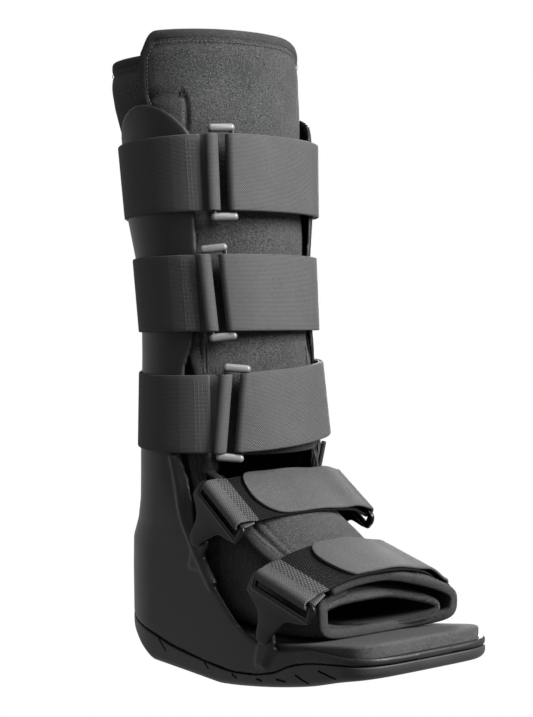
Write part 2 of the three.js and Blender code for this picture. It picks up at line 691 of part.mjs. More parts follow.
// Rings of the foot straps. In a ring's own plane, `across` runs down the bar to the toe, and `down` runs
// from the bar to the lobe on the shell.
function ringAxes({ slope }) {
  const across = v3(0, -Math.cos(rad(slope)), -Math.sin(rad(slope)));
  const down = v3(0, Math.sin(rad(slope)), -Math.cos(rad(slope)));
  return { across, down };
}

function ringPoint(bar, across, down, x = 0) {
  const axes = ringAxes(bar);
  return v3(x, bar.y, bar.z).addScaledVector(axes.across, across).addScaledVector(axes.down, down);
}

function makeRing(side, bar, strapWidth) {
  const half = strapWidth / 2 + ringMargin;
  const shape = new THREE.Shape();
  const lobe = -lobeShift;
  shape.moveTo(half - 2, -ringBar / 2);
  shape.quadraticCurveTo(half + 2, 0, half + 1, 0.18 * ringStem);
  shape.bezierCurveTo(half - 1, 0.5 * ringStem, 0.4 * half, 0.4 * ringStem, 0.25 * half, 0.6 * ringStem);
  shape.lineTo(lobe + lobeRadius, ringStem);
  shape.absarc(lobe, ringStem, lobeRadius, 0, Math.PI);
  const waist = 0.6 * ringStem;
  shape.bezierCurveTo(lobe - lobeRadius, waist, -0.7 * half, waist, -half - 2, 0.42 * ringStem);
  shape.quadraticCurveTo(-half - 4, 0.2 * ringStem, -half + 1, -ringBar / 2);
  const slot = new THREE.Path();
  const [slotHalf, slotTop, slotEnd] = [strapWidth / 2 + 2 * clearance, ringBar / 2, ringBar / 2 + ringSlot];
  slot.moveTo(-slotHalf, slotTop);
  slot.lineTo(slotHalf, slotTop);
  slot.lineTo(slotHalf, slotEnd);
  slot.lineTo(-slotHalf, slotEnd);
  shape.holes.push(slot);
  const settings = { depth: ringThickness, bevelEnabled: false, curveSegments: 6 };
  const geometry = new THREE.ExtrudeGeometry(shape, settings);
  geometry.translate(0, 0, -ringThickness / 2);
  const { across, down } = ringAxes(bar);
  const lean = side * Math.tan(rad(ringLean));
  const tilted = down.clone().setX(lean).normalize();
  const facing = across.clone().cross(tilted);
  const middle = v3(side * bar.x, bar.y, bar.z);
  geometry.applyMatrix4(new THREE.Matrix4().makeBasis(across, tilted, facing).setPosition(middle));
  return toManifold(geometry);
}

// A foot strap: sewn round the near bar, over the foot, through the far ring and back over itself to a
// rounded end
function makeFootStrap(bar, width, crown, tipAt) {
  const radius = Math.hypot(ringBar, ringThickness) / 2 + slack + strapThickness / 2;
  const step = strapThickness + clearance;
  const at = (x, height) => v2(x, crown * (1 - Math.abs(x / bar.x) ** crownRound) + height(x / bar.x));
  const upper = (share) => level(share) + step + (2 * radius - step) * ease(share, 0.5, 1);
  const span = (from, to, height, steps) => (
    Array.from({ length: steps + 1 }, (_, i) => at(mix(from, to, i / steps), height)));
  const level = (share) => radius * (ease(-share, 0.7, 1) - ease(share, 0.7, 1));
  const stitched = 0.8 * bar.x;
  const path = [
    at(-stitched, (share) => level(share) - step),
    ...arc(v2(-bar.x, 0), radius, 305, 90, 9),
    ...span(-0.92 * bar.x, 0.88 * bar.x, level, 16),
    ...arc(v2(bar.x, 0), radius, -125, 90, 9),
    ...span(0.9 * bar.x, tipAt, upper, 14),
  ];
  const place = (p, v) => ringPoint(bar, (v - 0.5) * width, -p.y, p.x);
  const tipLength = 0.14;
  const narrow = (u) => Math.sqrt(1 - 0.9 * ease(u, 1 - tipLength, 1) ** 4);
  return ribbon([path, path], place, narrow);
}

// The boot
const boot = new THREE.Group();

function add(name, manifold, finish) {
  const mesh = new THREE.Mesh(toGeometry(manifold), new THREE.MeshStandardMaterial(finish));
  mesh.name = name;
  boot.add(mesh);
}

add("shell", makeShell(), plastic);
add("outsole", makeOutsole(), rubber);
add("insole", makeInsole(), paleFoam);
add("leg_liner", makeLegLiner(), foam);
add("foot_liner", makeFootLiner(), foam);
calfStraps.forEach((strap) => {
  add(`${strap.name}_strap_anchor`, makeStrapAnchor(strap), webbing);
  add(`${strap.name}_strap_front`, makeStrapFront(strap), webbing);
  add(`${strap.name}_buckle`, makeBuckle(strap), capPlastic);
});
[["near", -1], ["far", 1]].forEach(([name, side]) => {
  add(`${name}_instep_ring`, makeRing(side, instepBar, instepStrapWidth), glossPlastic);
  add(`${name}_forefoot_ring`, makeRing(side, forefootBar, forefootStrapWidth), glossPlastic);
});
add("instep_strap", makeFootStrap(instepBar, instepStrapWidth, instepCrown, instepTip), webbing);
add("forefoot_strap", makeFootStrap(forefootBar, forefootStrapWidth, forefootCrown, forefootTip), webbing);

// The origin goes to the middle of the boot's footprint, at the ground
const box = new THREE.Box3().setFromObject(boot);
boot.position.set(-(box.min.x + box.max.x) / 2, -(box.min.y + box.max.y) / 2, -box.min.z);

export default boot;
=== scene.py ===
# A tall medical walking boot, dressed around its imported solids.
# Sizes are in millimetres from the axis of the leg, as in the part's source, and go to metres at the end.
import math
from collections import namedtuple

import bmesh
import bpy
import numpy as np
from mathutils import Matrix, Vector


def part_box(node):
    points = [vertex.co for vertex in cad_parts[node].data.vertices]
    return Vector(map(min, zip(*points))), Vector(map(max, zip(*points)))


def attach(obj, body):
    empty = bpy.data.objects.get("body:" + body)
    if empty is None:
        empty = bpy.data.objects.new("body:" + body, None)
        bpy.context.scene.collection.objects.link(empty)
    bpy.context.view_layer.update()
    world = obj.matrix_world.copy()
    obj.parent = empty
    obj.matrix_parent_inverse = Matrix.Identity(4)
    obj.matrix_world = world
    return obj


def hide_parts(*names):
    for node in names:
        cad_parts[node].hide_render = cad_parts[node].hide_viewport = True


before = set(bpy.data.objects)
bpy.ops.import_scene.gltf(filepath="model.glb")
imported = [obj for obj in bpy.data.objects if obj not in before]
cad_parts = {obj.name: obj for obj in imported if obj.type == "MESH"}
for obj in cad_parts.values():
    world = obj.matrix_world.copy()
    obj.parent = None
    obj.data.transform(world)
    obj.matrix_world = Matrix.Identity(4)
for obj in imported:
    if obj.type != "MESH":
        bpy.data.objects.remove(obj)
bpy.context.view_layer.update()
scene = bpy.context.scene

# Sizes as in the part's source. Only the front of the uprights is narrower here, 35 instead of 39.5.
UPRIGHT_TOP, UPRIGHT_FRONT, UPRIGHT_BACK = 381, 35, 44
LEG, HEEL_HALF, TOE_HALF = 65, 52, 55.5
HEEL, TOE, TOE_CURVE, TOE_ROUND = 78.5, 213, 40, 4.5
WALL, SOLE_RISE, TREAD_ROUND, TRAY, RIB_TOP = 3, 14, 5, 27, 147
LINER_TOP, LINER_WALL, LAP_GAP = 430, 6, 1
SLEEVE_WALL, SLEEVE_LAP, SLEEVE_HALF, SLEEVE_BACK = 5.5, 2.2, 50, 52
INSOLE = 8
STRAP_WIDTH, STRAP = 50.8, 1.8
BUCKLE_WIDTH, BUCKLE_BAR, BUCKLE_DEPTH, CAP, BUCKLE_SLACK = 17, 3, 3.2, 4, 1.6
RING, RING_BAR, RING_SLOT, RING_MARGIN, RING_STEM = 2.6, 3, 6.5, 5, 32.5
LOBE, LOBE_SHIFT, RING_LEAN = 6.5, 8, 7
CLEARANCE, SLACK, STRAP_LIFT = 0.4, 0.5, 1.4
CROWN_ROUND = 2.6

# Plan sections: height as a share of the uprights', half width, centre, back, front, front of the liner,
# squareness and share of the foot's outline
L, H = LEG, HEEL
SECTIONS = np.array([
    (0, 0.96 * HEEL_HALF, 0.18 * H, 0.98 * H, -1.7 * L, -1.7 * L, 2.2, 1),
    (0.07, HEEL_HALF, 0.18 * H, H, -1.7 * L, -1.7 * L, 2.2, 1),
    (0.16, 1.02 * HEEL_HALF, 0.16 * H, H, -1.6 * L, -1.6 * L, 2.2, 1),
    (0.215, 1.03 * HEEL_HALF, 0.14 * H, 0.99 * H, -1.5 * L, -1.5 * L, 2.2, 1),
    (0.252, 0.845 * L, 0.08 * L, 0.87 * H, -1.4 * L, -1.4 * L, 2.2, 0.45),
    (0.294, 0.895 * L, 0, 0.92 * L, -1.3 * L, -1.3 * L, 2.1, 0.15),
    (0.341, 0.955 * L, -0.11 * L, 0.86 * L, -1.2 * L, -1.15 * L, 2, 0),
    (0.385, L, -0.19 * L, 0.815 * L, -1.14 * L, -1.06 * L, 2, 0),
    (0.55, 0.945 * L, -0.127 * L, 0.84 * L, -L, -0.95 * L, 2, 0),
    (0.596, 0.93 * L, -0.1 * L, 0.86 * L, -0.95 * L, -0.9 * L, 2, 0),
    (0.733, 0.945 * L, 0, 0.97 * L, -0.85 * L, -0.79 * L, 2.15, 0),
    (0.803, 0.985 * L, 0.06 * L, 1.1 * L, -0.83 * L, -0.755 * L, 2.3, 0),
    (0.941, 1.005 * L, 0.14 * L, 1.24 * L, -0.775 * L, -0.71 * L, 2.45, 0),
    (1.01, 1.05 * L, 0.24 * L, 1.4 * L, -0.74 * L, -0.68 * L, 2.5, 0),
    (1.05, 1.06 * L, 0.28 * L, 1.475 * L, -0.72 * L, -0.66 * L, 2.5, 0),
    (1.2, 1.06 * L, 0.28 * L, 1.475 * L, -0.71 * L, -0.65 * L, 2.5, 0),
])
# Share of the steps ahead of the leg that run along the side of the foot
SIDE_SHARE = 7 / 13
# Steps of half an outline, behind and ahead of the widest place
BACK_STEPS, FRONT_STEPS = 26, 78

# Side curves: share of TOE ahead or HEEL behind, and rise as a share of the unit beside it
GROUND = (SOLE_RISE, [(-1, 2.2), (-0.895, 1.85), (-0.751, 1.23), (-0.635, 0.83), (-0.5, 0.44), (-0.356, 0.1),
                      (-0.29, 0), (0.16, 0), (0.33, 0.3), (0.52, 0.8), (0.78, 1.35), (1, 1.8)])
SEAM = (SOLE_RISE, [(-1, 2.72), (-0.876, 2.54), (-0.756, 2.26), (-0.674, 1.9), (-0.597, 1.4), (-0.472, 0.95),
                    (-0.346, 0.78), (-0.212, 0.86), (-0.067, 1.01), (0.22, 1.41), (0.46, 1.65), (1, 2.2)])
TRAY_FLOOR = (TRAY, [(-1, 1.57), (-0.751, 1.26), (-0.597, 1.07), (-0.462, 1), (0.25, 1), (0.65, 1.12),
                     (1, 1.3)])
RIM = [(-1, 0.29), (-0.895, 0.282), (-0.751, 0.27), (-0.616, 0.236), (-0.553, 0.233), (-0.472, 0.257),
       (-0.404, 0.303), (-0.318, 0.398), (-0.255, 0.489), (-0.202, 0.59), (-0.186, 0.72)]
# Grooves in the side of the sole: place, rise, length and slope
GROOVES = [(0.02, 1.01, 14, 36), (-0.246, 0.73, 8, 32), (-0.401, 0.66, 6, 15), (-0.529, 0.88, 6, 0),
           (-0.635, 1.18, 10, -3), (-0.731, 1.52, 13, 14), (-0.842, 2.05, 16, 7)]

# Calf straps: height as a share of the uprights', slopes to the side and the back,
# angle of the buckle on the leg and how far the buckle leans
CalfStrap = namedtuple("CalfStrap", "name share side_slope back_slope buckle lean")
CALF_STRAPS = [
    CalfStrap("upper", 0.872, 0, -0.02, 61.5, -1.4),
    CalfStrap("middle", 0.6645, 0, -0.02, 52, 0.7),
    CalfStrap("lower", 0.468, 0.07, 0, 55.8, -5.8),
]
# Length of the sewn end before the buckle, and angles where the anchors and the fronts end
SEWN_LEAD, ANCHOR_FAR, FRONT_LOW_END, FRONT_TOP_END = 15, -186, 168, 205
# Foot straps: place and slope of the ring's bar, width and crown of the strap, end of the upper layer,
# a little sooner than in the source, and length of its round corners at the back and the front
FootStrap = namedtuple("FootStrap", "name x y z slope width crown tip back_corner front_corner")
FOOT_STRAPS = [
    FootStrap("instep", 54, -74.3, 117.5, 32.7, 43, 6, -34, 9, 19),
    FootStrap("forefoot", 55.5, -139.2, 73.2, 13.6, 50, 15, -27, 17, 7),
]

sole_low, sole_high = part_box("outsole")
SHIFT = np.array([500 * (sole_low.x + sole_high.x), 1000 * sole_low.y + TOE, 0])


def ease(x, a, b):
    t = np.clip((np.asarray(x, float) - a) / (b - a), 0, 1)
    return t * t * (3 - 2 * t)


def mix(a, b, t):
    return a + (b - a) * t


Section = namedtuple("Section", "half centre back front pad power foot")


def cos_sin(degrees):
    turn = np.radians(degrees)
    return np.cos(turn), np.sin(turn)


def section(z):
    share = np.asarray(z, float) / UPRIGHT_TOP
    return Section(*(np.interp(share, SECTIONS[:, 0], SECTIONS[:, k]) for k in range(1, 8)))


def rounded(value, power):
    return np.sign(value) * np.abs(value) ** (2 / power)


def loop_point(angle, z, half, centre, back, front, power):
    """A point of the leg loop: the near side is 0, the front 90 and the far side 180 degrees."""
    across, ahead = cos_sin(angle)
    power = np.where(ahead > 0, power, 2)
    reach = np.where(ahead > 0, centre - front, back - centre)
    z = np.broadcast_to(z, np.shape(across))
    return np.stack([-half * rounded(across, power), centre - reach * rounded(ahead, power), z], -1)


def leg_point(angle, z, inset=0):
    at = section(z)
    return loop_point(angle, z, at.half - inset, at.centre, at.back - inset, at.front + inset, at.power)


def side_curve(curve):
    """A smooth curve through the rows of a side table that never overshoots them."""
    scale, rows = curve
    ys = np.array([a * (TOE if a < 0 else HEEL) for a, _ in rows])
    zs = np.array([r * scale for _, r in rows])
    slopes = np.diff(zs) / np.diff(ys)
    before, after = slopes[:-1], slopes[1:]
    flat = before * after <= 0
    inner = np.where(flat, 0, 2 * before * after / np.where(flat, 1, before + after))
    tangents = np.concatenate([[slopes[0]], inner, [slopes[-1]]])

    def at(y):
        y = np.clip(y, ys[0], ys[-1])
        i = np.clip(np.searchsorted(ys, y, side="right") - 1, 0, len(ys) - 2)
        step = ys[i + 1] - ys[i]
        t = (y - ys[i]) / step
        rest = 1 - t
        return (zs[i] * (1 + 2 * t) * rest ** 2 + zs[i + 1] * t ** 2 * (3 - 2 * t)
                + step * t * rest * (tangents[i] * rest - tangents[i + 1] * t))
    return at


ground_at, seam_at, tray_at = side_curve(GROUND), side_curve(SEAM), side_curve(TRAY_FLOOR)


def insole_top(y):
    return tray_at(y) + CLEARANCE + INSOLE


def half_outline(z, inset=0):
    """Half of the plan outline at a height, from the back to the front."""
    at = section(z)
    back = leg_point(np.linspace(-90, 0, BACK_STEPS + 1)[:-1], z, inset)
    t = np.linspace(0, 1, FRONT_STEPS + 1)
    on_leg = leg_point(90 * t, z, inset)
    on_side = np.minimum(t / SIDE_SHARE, 1)
    aside, ahead = cos_sin(90 * np.maximum((t - SIDE_SHARE) / (1 - SIDE_SHARE), 0))
    wide = mix(at.half, TOE_HALF, ease(on_side, 0, 1)) - inset
    foot_x = -wide * rounded(aside, TOE_ROUND)
    foot_y = mix(at.centre, TOE_CURVE - TOE, on_side) - (TOE_CURVE - inset) * rounded(ahead, TOE_ROUND)
    ahead_x = mix(on_leg[:, 0], foot_x, at.foot)
    ahead_y = mix(on_leg[:, 1], foot_y, at.foot)
    points = np.concatenate([back, np.stack([ahead_x, ahead_y, on_leg[:, 2]], -1)])
    points[:, 0] = np.where(np.abs(points[:, 0]) < 1e-6, 0, -points[:, 0])
    return points


def side_x(y, z, inset=0):
    points = half_outline(z, inset)
    return float(np.interp(-y, -points[:, 1], points[:, 0]))


def configure(thing, **settings):
    for key, value in settings.items():
        setattr(thing, key, value)
    return thing


# Materials, made of nodes in the shared frame or along the webbing
def new_material(name, colour, roughness, shine, **plain):
    mat = bpy.data.materials.new(name)
    mat.use_nodes = True
    shader = mat.node_tree.nodes["Principled BSDF"]
    values = {"Base Color": (colour, colour, colour * 1.02, 1), "Roughness": roughness,
              "Specular IOR Level": shine, **plain}
    for key, value in values.items():
        shader.inputs[key.replace("_", " ")].default_value = value
    return mat


def node(mat, kind, inputs=(), **settings):
    made = configure(mat.node_tree.nodes.new("ShaderNode" + kind), **settings)
    for key, value in dict(inputs).items():
        if isinstance(value, bpy.types.NodeSocket):
            mat.node_tree.links.new(value, made.inputs[key])
        else:
            made.inputs[key].default_value = value
    return made


def plug(mat, key, socket):
    mat.node_tree.links.new(socket, mat.node_tree.nodes["Principled BSDF"].inputs[key])


def place_of(mat, kind="Object"):
    return node(mat, "TexCoord").outputs[kind]


def noise(mat, scale, detail=2, rough=0.6):
    inputs = {"Vector": place_of(mat), "Scale": scale, "Detail": detail, "Roughness": rough}
    return node(mat, "TexNoise", inputs).outputs["Fac"]


def maths(mat, operation, a, b=0.0):
    return node(mat, "Math", {0: a, 1: b}, operation=operation).outputs[0]


def weighted(mat, *layers):
    """The sum of sockets, each times its share."""
    total = None
    for socket, share in layers:
        layer = maths(mat, "MULTIPLY", socket, share)
        total = layer if total is None else maths(mat, "ADD", total, layer)
    return total


def ramp(mat, factor, *stops):
    """Greys along a factor: pairs of place and value."""
    made = node(mat, "ValToRGB", {"Fac": factor})
    while len(made.color_ramp.elements) < len(stops):
        made.color_ramp.elements.new(0.5)
    for element, (place, value) in zip(made.color_ramp.elements, stops):
        element.position = place
        element.color = (value, value, value * 1.02, 1)
    return made.outputs["Color"]


def bump(mat, *layers):
    """Bump from pairs of height and distance in metres, one on the other."""
    normal = None
    for height, distance in layers:
        inputs = {"Height": height, "Distance": distance, "Strength": 1.0}
        if normal is not None:
            inputs["Normal"] = normal
        normal = node(mat, "Bump", inputs).outputs["Normal"]
    plug(mat, "Normal", normal)


def moulded(name, colour, roughness, shine, grain=0.00006):
    """Moulded plastic or rubber with a fine grain, faint flow marks and scuffs."""
    mat = new_material(name, colour, roughness, shine)
    grains = noise(mat, 1400, 3)
    flow = noise(mat, 22, 3)
    scuffs = noise(mat, 260, 5, 0.75)
    plug(mat, "Base Color", ramp(mat, flow, (0.3, 0.8 * colour), (0.7, 1.25 * colour)))
    blend = weighted(mat, (flow, 0.12), (scuffs, 0.1))
    plug(mat, "Roughness", maths(mat, "ADD", blend, roughness - 0.11))
    bump(mat, (grains, grain), (flow, 4 * grain))
    return mat


def brushed(name, colour, shine, speckle=0.75, fuzz=0.0006, **plain):
    """Brushed loop cloth over foam, with a fuzzy speckled face."""
    mat = new_material(name, colour, 0.95, shine, **plain)
    fine = noise(mat, 1500, 3, 0.7)
    coarse = noise(mat, 500, 2)
    cloud = noise(mat, 30, 2)
    tone = weighted(mat, (fine, 0.8), (coarse, 0.1), (cloud, 0.1))
    plug(mat, "Base Color", ramp(mat, tone, (0.4, (1 - speckle) * colour), (0.5, colour),
                                 (0.62, (1 + 2.2 * speckle) * colour)))
    bump(mat, (fine, fuzz), (coarse, 0.8 * fuzz))
    return mat


def waves(mat, socket, pitch):
    """A rounded wave from 0 to 1 along one millimetre axis of the webbing."""
    turned = maths(mat, "MULTIPLY", socket, 2 * math.pi / pitch)
    return maths(mat, "ADD", maths(mat, "MULTIPLY", maths(mat, "SINE", turned), 0.5), 0.5)


def webbing(name, colour, shine, pitch, ribs, contrast, height=0.0002):
    """Woven webbing. Its UVs are millimetres along and across the strap."""
    mat = new_material(name, colour, 0.8, shine)
    split = node(mat, "SeparateXYZ", {"Vector": place_of(mat, "UV")})
    along, across = split.outputs["X"], split.outputs["Y"]
    warp = waves(mat, across, pitch)
    row = maths(mat, "MULTIPLY", across, math.pi / pitch)
    shift = maths(mat, "MULTIPLY", maths(mat, "SIGN", maths(mat, "SINE", row)), 0.25 * ribs)
    weft = waves(mat, maths(mat, "ADD", along, shift), ribs)
    weave = maths(mat, "MULTIPLY", warp, weft)
    fray = noise(mat, 900, 3, 0.7)
    cloud = noise(mat, 40, 2)
    tone = weighted(mat, (weave, 0.55), (fray, 0.35), (cloud, 0.1))
    plug(mat, "Base Color", ramp(mat, tone, (0.2, (1 - contrast) * colour), (0.45, colour),
                                 (0.75, (1 + 1.3 * contrast) * colour)))
    bump(mat, (weave, height), (fray, 0.5 * height))
    return mat


shell_black = moulded("shell_black", 0.003, 0.46, 0.1)
gloss_black = moulded("gloss_black", 0.0015, 0.2, 0.1, 0.00001)
cap_grey = moulded("cap_grey", 0.028, 0.42, 0.25, 0.00002)
sole_black = moulded("sole_black", 0.006, 0.52, 0.12, 0.00012)
liner_cloth = brushed("liner_cloth", 0.0095, 0.06, Sheen_Weight=0.02, Sheen_Roughness=0.5)
lining_cloth = brushed("lining_cloth", 0.006, 0.05)
binding_cloth = brushed("binding_cloth", 0.0085, 0.06, 0.4, 0.0003)
loop_face = brushed("loop_face", 0.015, 0.08, 0.28, 0.0002)
insole_grey = brushed("insole_grey", 0.013, 0.06, 0.35, 0.0002)
strap_grey = webbing("strap_grey", 0.0185, 0.1, 0.85, 1.4, 0.65)
# A darker copy of the strap webbing: painted shade for the calf strap anchors, which face away from the light
strap_painted_shade = webbing("strap_painted_shade", 0.011, 0.1, 0.85, 1.4, 0.6)
sewn_grid = webbing("sewn_grid", 0.015, 0.1, 2.1, 2.1, 0.85, 0.0005)
hook_face = webbing("hook_face", 0.0025, 0.05, 2.3, 1.6, 0.95, 0.0014)
thread = new_material("thread", 0.016, 0.7, 0.1)
ROOT = "root"


def dress(obj, stands_for=()):
    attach(obj, ROOT)
    if stands_for:
        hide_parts(*stands_for)
    return obj


def to_metres(points):
    return (np.asarray(points, float) + SHIFT) / 1000


def unit(vectors):
    return vectors / (np.linalg.norm(vectors, axis=-1, keepdims=True) + 1e-9)


def path_length(path):
    """Length along a path up to each of its points."""
    return np.concatenate([[0], np.cumsum(np.linalg.norm(np.diff(path, axis=0), axis=1))])


def side_faces(rings, n, start=0):
    """Faces between closed rings of n points each."""
    faces = []
    for base in range(start, start + (rings - 1) * n, n):
        faces += [(base + j, base + (j + 1) % n, base + n + (j + 1) % n, base + n + j) for j in range(n)]
    return faces


def end_faces(rings, n, start=0):
    """One face on the first ring and one on the last."""
    last = start + (rings - 1) * n
    return [tuple(range(start, start + n))[::-1], tuple(range(last, last + n))]


def add_object(name, data):
    obj = bpy.data.objects.new(name, data)
    scene.collection.objects.link(obj)
    return obj


def paint(mesh, mats):
    mesh.materials.clear()
    for mat in mats:
        mesh.materials.append(mat)


def tidy_mesh(obj):
    """Welds the corners, turns every face outward and shades it smooth."""
    work = bmesh.new()
    work.from_mesh(obj.data)
    bmesh.ops.remove_doubles(work, verts=work.verts, dist=1e-6)
    bmesh.ops.recalc_face_normals(work, faces=work.faces)
    work.to_mesh(obj.data)
    work.free()
    obj.data.shade_smooth()
    return obj


def mesh_object(name, points, faces, mats, uv=None, material_of=None):
    mesh = bpy.data.meshes.new(name)
    mesh.from_pydata(to_metres(points).tolist(), [], [tuple(int(i) for i in f) for f in faces])
    if uv is not None:
        layer = mesh.uv_layers.new(name="UVMap")
        corners = [i for face in faces for i in face]
        layer.data.foreach_set("uv", uv[corners].ravel())
    paint(mesh, mats)
    if material_of is not None:
        mesh.polygons.foreach_set("material_index", np.asarray(material_of, int))
    mesh.update()
    return tidy_mesh(add_object(name, mesh))


def final_mesh(obj):
    """The mesh that an object's modifiers or curve settings lead to."""
    return bpy.data.meshes.new_from_object(obj.evaluated_get(bpy.context.evaluated_depsgraph_get()))


def bake(obj):
    mesh = final_mesh(obj)
    obj.modifiers.clear()
    obj.data = mesh
    return obj


def cut(obj, tool, operation="DIFFERENCE"):
    step = obj.modifiers.new("cut", "BOOLEAN")
    configure(step, object=tool, operation=operation, solver="EXACT")
    bake(obj)
    bpy.data.objects.remove(tool)
    return obj


def crease(obj, degrees):
    obj.data.set_sharp_from_angle(angle=math.radians(degrees))
    return obj


def add_line(curve, places, closed, radii=1.0):
    line = curve.splines.new("POLY")
    line.points.add(len(places) - 1)
    for point, place, radius in zip(line.points, places, np.broadcast_to(radii, len(places))):
        point.co = (*place, 1)
        point.radius = radius
    line.use_cyclic_u = closed


def curve_piece(name, curve, mats, matrix=None):
    """The mesh piece that a curve stands for."""
    holder = add_object(name, curve)
    mesh = final_mesh(holder)
    bpy.data.objects.remove(holder)
    if matrix is not None:
        mesh.transform(matrix)
    paint(mesh, mats)
    return tidy_mesh(add_object(name, mesh))


def tube(name, path, radius, mats, closed=False):
    """A round bar along a path in millimetres. The radius is one number or one for each point."""
    curve = configure(bpy.data.curves.new(name, "CURVE"), dimensions="3D", bevel_depth=0.001,
                      bevel_resolution=4, use_fill_caps=not closed)
    add_line(curve, to_metres(path), closed, radius)
    return curve_piece(name, curve, mats)


def plate_curve(name, loops, thick, edge, matrix, mats):
    """A flat plate with rounded edges. The first loop is its outline and the others are holes."""
    curve = configure(bpy.data.curves.new(name, "CURVE"), dimensions="2D", fill_mode="BOTH",
                      extrude=(thick / 2 - edge) / 1000, bevel_depth=edge / 1000,
                      offset=-edge / 1000, bevel_resolution=3)
    for loop in loops:
        add_line(curve, [(x / 1000, y / 1000, 0) for x, y in loop], True)
    return crease(curve_piece(name, curve, mats, matrix), 60)


def join(first, *others):
    """Moves the meshes of others into first."""
    work = bmesh.new()
    for obj in (first, *others):
        work.from_mesh(obj.data)
    work.to_mesh(first.data)
    work.free()
    for obj in others:
        bpy.data.objects.remove(obj)
    first.data.shade_smooth()
    return first


# Solids from stacked outlines and side views
def stack(name, halves, mats):
    """A solid from half outlines, one above the other. The other half of each is its mirror image."""
    last = len(halves[0]) - 1
    ring = 2 * last
    flip = np.array([-1, 1, 1])
    points = np.concatenate([np.concatenate([half * flip, half[1:last][::-1]]) for half in halves])
    faces = side_faces(len(halves), ring)
    for base, turn in ((0, -1), ((len(halves) - 1) * ring, 1)):
        cap = [(base, base + 1, base + ring - 1), (base + last - 1, base + last, base + last + 1)]
        cap += [(base + i, base + i + 1, base + ring - i - 1, base + ring - i) for i in range(1, last - 1)]
        faces += [face[::turn] for face in cap]
    return mesh_object(name, points, faces, mats)


def side_block(name, outline, reach=130):
    """A side view outline, in Y and Z, as a block from -reach to reach in X."""
    n = len(outline)
    points = [(x, y, z) for x in (-reach, reach) for y, z in outline]
    return mesh_object(name, points, side_faces(2, n) + end_faces(2, n), [])


def spline(points, per=12):
    """A smooth curve through a list of points."""
    points = np.array(points, float)
    ends = np.concatenate([points[:1], points, points[-1:]])
    out = []
    for i in range(len(points) - 1):
        a, b, c, d = ends[i:i + 4]
        for t in np.linspace(0, 1, per, endpoint=False):
            out.append(0.5 * (2 * b + (c - a) * t + (2 * a - 5 * b + 4 * c - d) * t ** 2
                              + (3 * b - a - 3 * c + d) * t ** 3))
    return np.array(out + [points[-1]])


# Height whose plan outline the sole and the insole share
PLAN = 0.07 * UPRIGHT_TOP


def raised(inset, height):
    """Half of the plan outline, drawn in and lifted by a function of Y."""
    half = half_outline(PLAN, inset)
    return np.stack([half[:, 0], half[:, 1], height(half[:, 1])], -1)


def shell_outline():
    margin = 5
    along = np.linspace(HEEL + margin, -TOE - margin, 120)
    rise = 0.093 * UPRIGHT_TOP
    across, up = cos_sin(np.linspace(180, 0, 40)[1:-1])
    middle, half = (UPRIGHT_BACK - UPRIGHT_FRONT) / 2, (UPRIGHT_BACK + UPRIGHT_FRONT) / 2
    start = UPRIGHT_TOP - rise
    front, back, top = -UPRIGHT_FRONT, UPRIGHT_BACK, UPRIGHT_TOP
    parts = [
        np.stack([along, seam_at(along)], -1),
        spline([(-TOE - margin, RIM[0][1] * RIB_TOP)] + [(a * TOE, r * RIB_TOP) for a, r in RIM]),
        spline([(0.95 * front, RIB_TOP), (0.9 * front, 0.53 * top), (0.99 * front, 0.585 * top),
                (front, 0.75 * top), (front, start)]),
        np.stack([middle + half * across, start + rise * up], -1),
        spline([(back, start), (back, 0.6 * top), (1.08 * back, 0.47 * top), (1.3 * back, 0.37 * top),
                (HEEL + margin, 0.275 * top)]),
    ]
    return np.concatenate(parts)


def cavity_outline():
    along = np.linspace(2 * HEEL, -1.5 * TOE, 120)
    floor = np.stack([along, tray_at(along)], -1)
    return np.concatenate([[(2 * HEEL, 1.2 * UPRIGHT_TOP)], floor, [(-1.5 * TOE, 1.2 * UPRIGHT_TOP)]])


# Places on the rings of the foot straps
def ring_axes(slope):
    cos, sin = cos_sin(slope)
    return np.array([0, -cos, -sin]), np.array([0, sin, -cos])


def ring_point(bar, across, down, x=0.0):
    """A point on the plane of a ring, from the middle of its bar."""
    run, drop = ring_axes(bar.slope)
    across, down, x = np.broadcast_arrays(across, down, x)
    base = np.array([0, bar.y, bar.z]) + across[..., None] * run + down[..., None] * drop
    base[..., 0] = x
    return base


def shell_lug(side, bar):
    """The part of the shell that a ring is held by."""
    _, y, z = ring_point(bar, -LOBE_SHIFT, RING_STEM)
    tall, wide, foot = 0.8 * LOBE, 1.1 * LOBE, 3.4 * LOBE
    outline = [(y + wide, z + tall), (y - 0.7 * wide, z + 0.3 * tall), (y - 0.9 * wide, z - tall),
               (y + 0.6 * wide, z - foot), (y + 2 * wide, z - foot)]
    half = 0.65 * WALL
    out = bar.x + math.tan(math.radians(RING_LEAN)) * (RING_STEM - LOBE) - RING / 2
    block = side_block("lug", outline, half)
    block.data.transform(Matrix.Translation((side * (out - half) / 1000, 0, 0)))
    return block


def shell_rib(side):
    """The thick front edge of an upright, where it runs down into the rim."""
    radius = 4.5
    rows = [(-0.95 * UPRIGHT_FRONT, 1), (-0.97 * UPRIGHT_FRONT, 0.86), (-UPRIGHT_FRONT, 0.72),
            (-0.21 * TOE, 0.6), (-0.265 * TOE, 0.5), (-0.31 * TOE, 0.43)]
    path = [(side * side_x(y + radius, share * RIB_TOP, WALL / 2), y + radius, share * RIB_TOP)
            for y, share in rows]
    return tube("rib", spline(path, 6), radius, [])


def soften(body):
    """Rounds the edges of a solid: a fine even mesh, smoothed and then thinned."""
    configure(body.modifiers.new("even", "REMESH"), mode="VOXEL", voxel_size=0.0012)
    configure(body.modifiers.new("smooth", "SMOOTH"), factor=0.5, iterations=9)
    configure(body.modifiers.new("thin", "DECIMATE"), ratio=0.45)
    return bake(body)


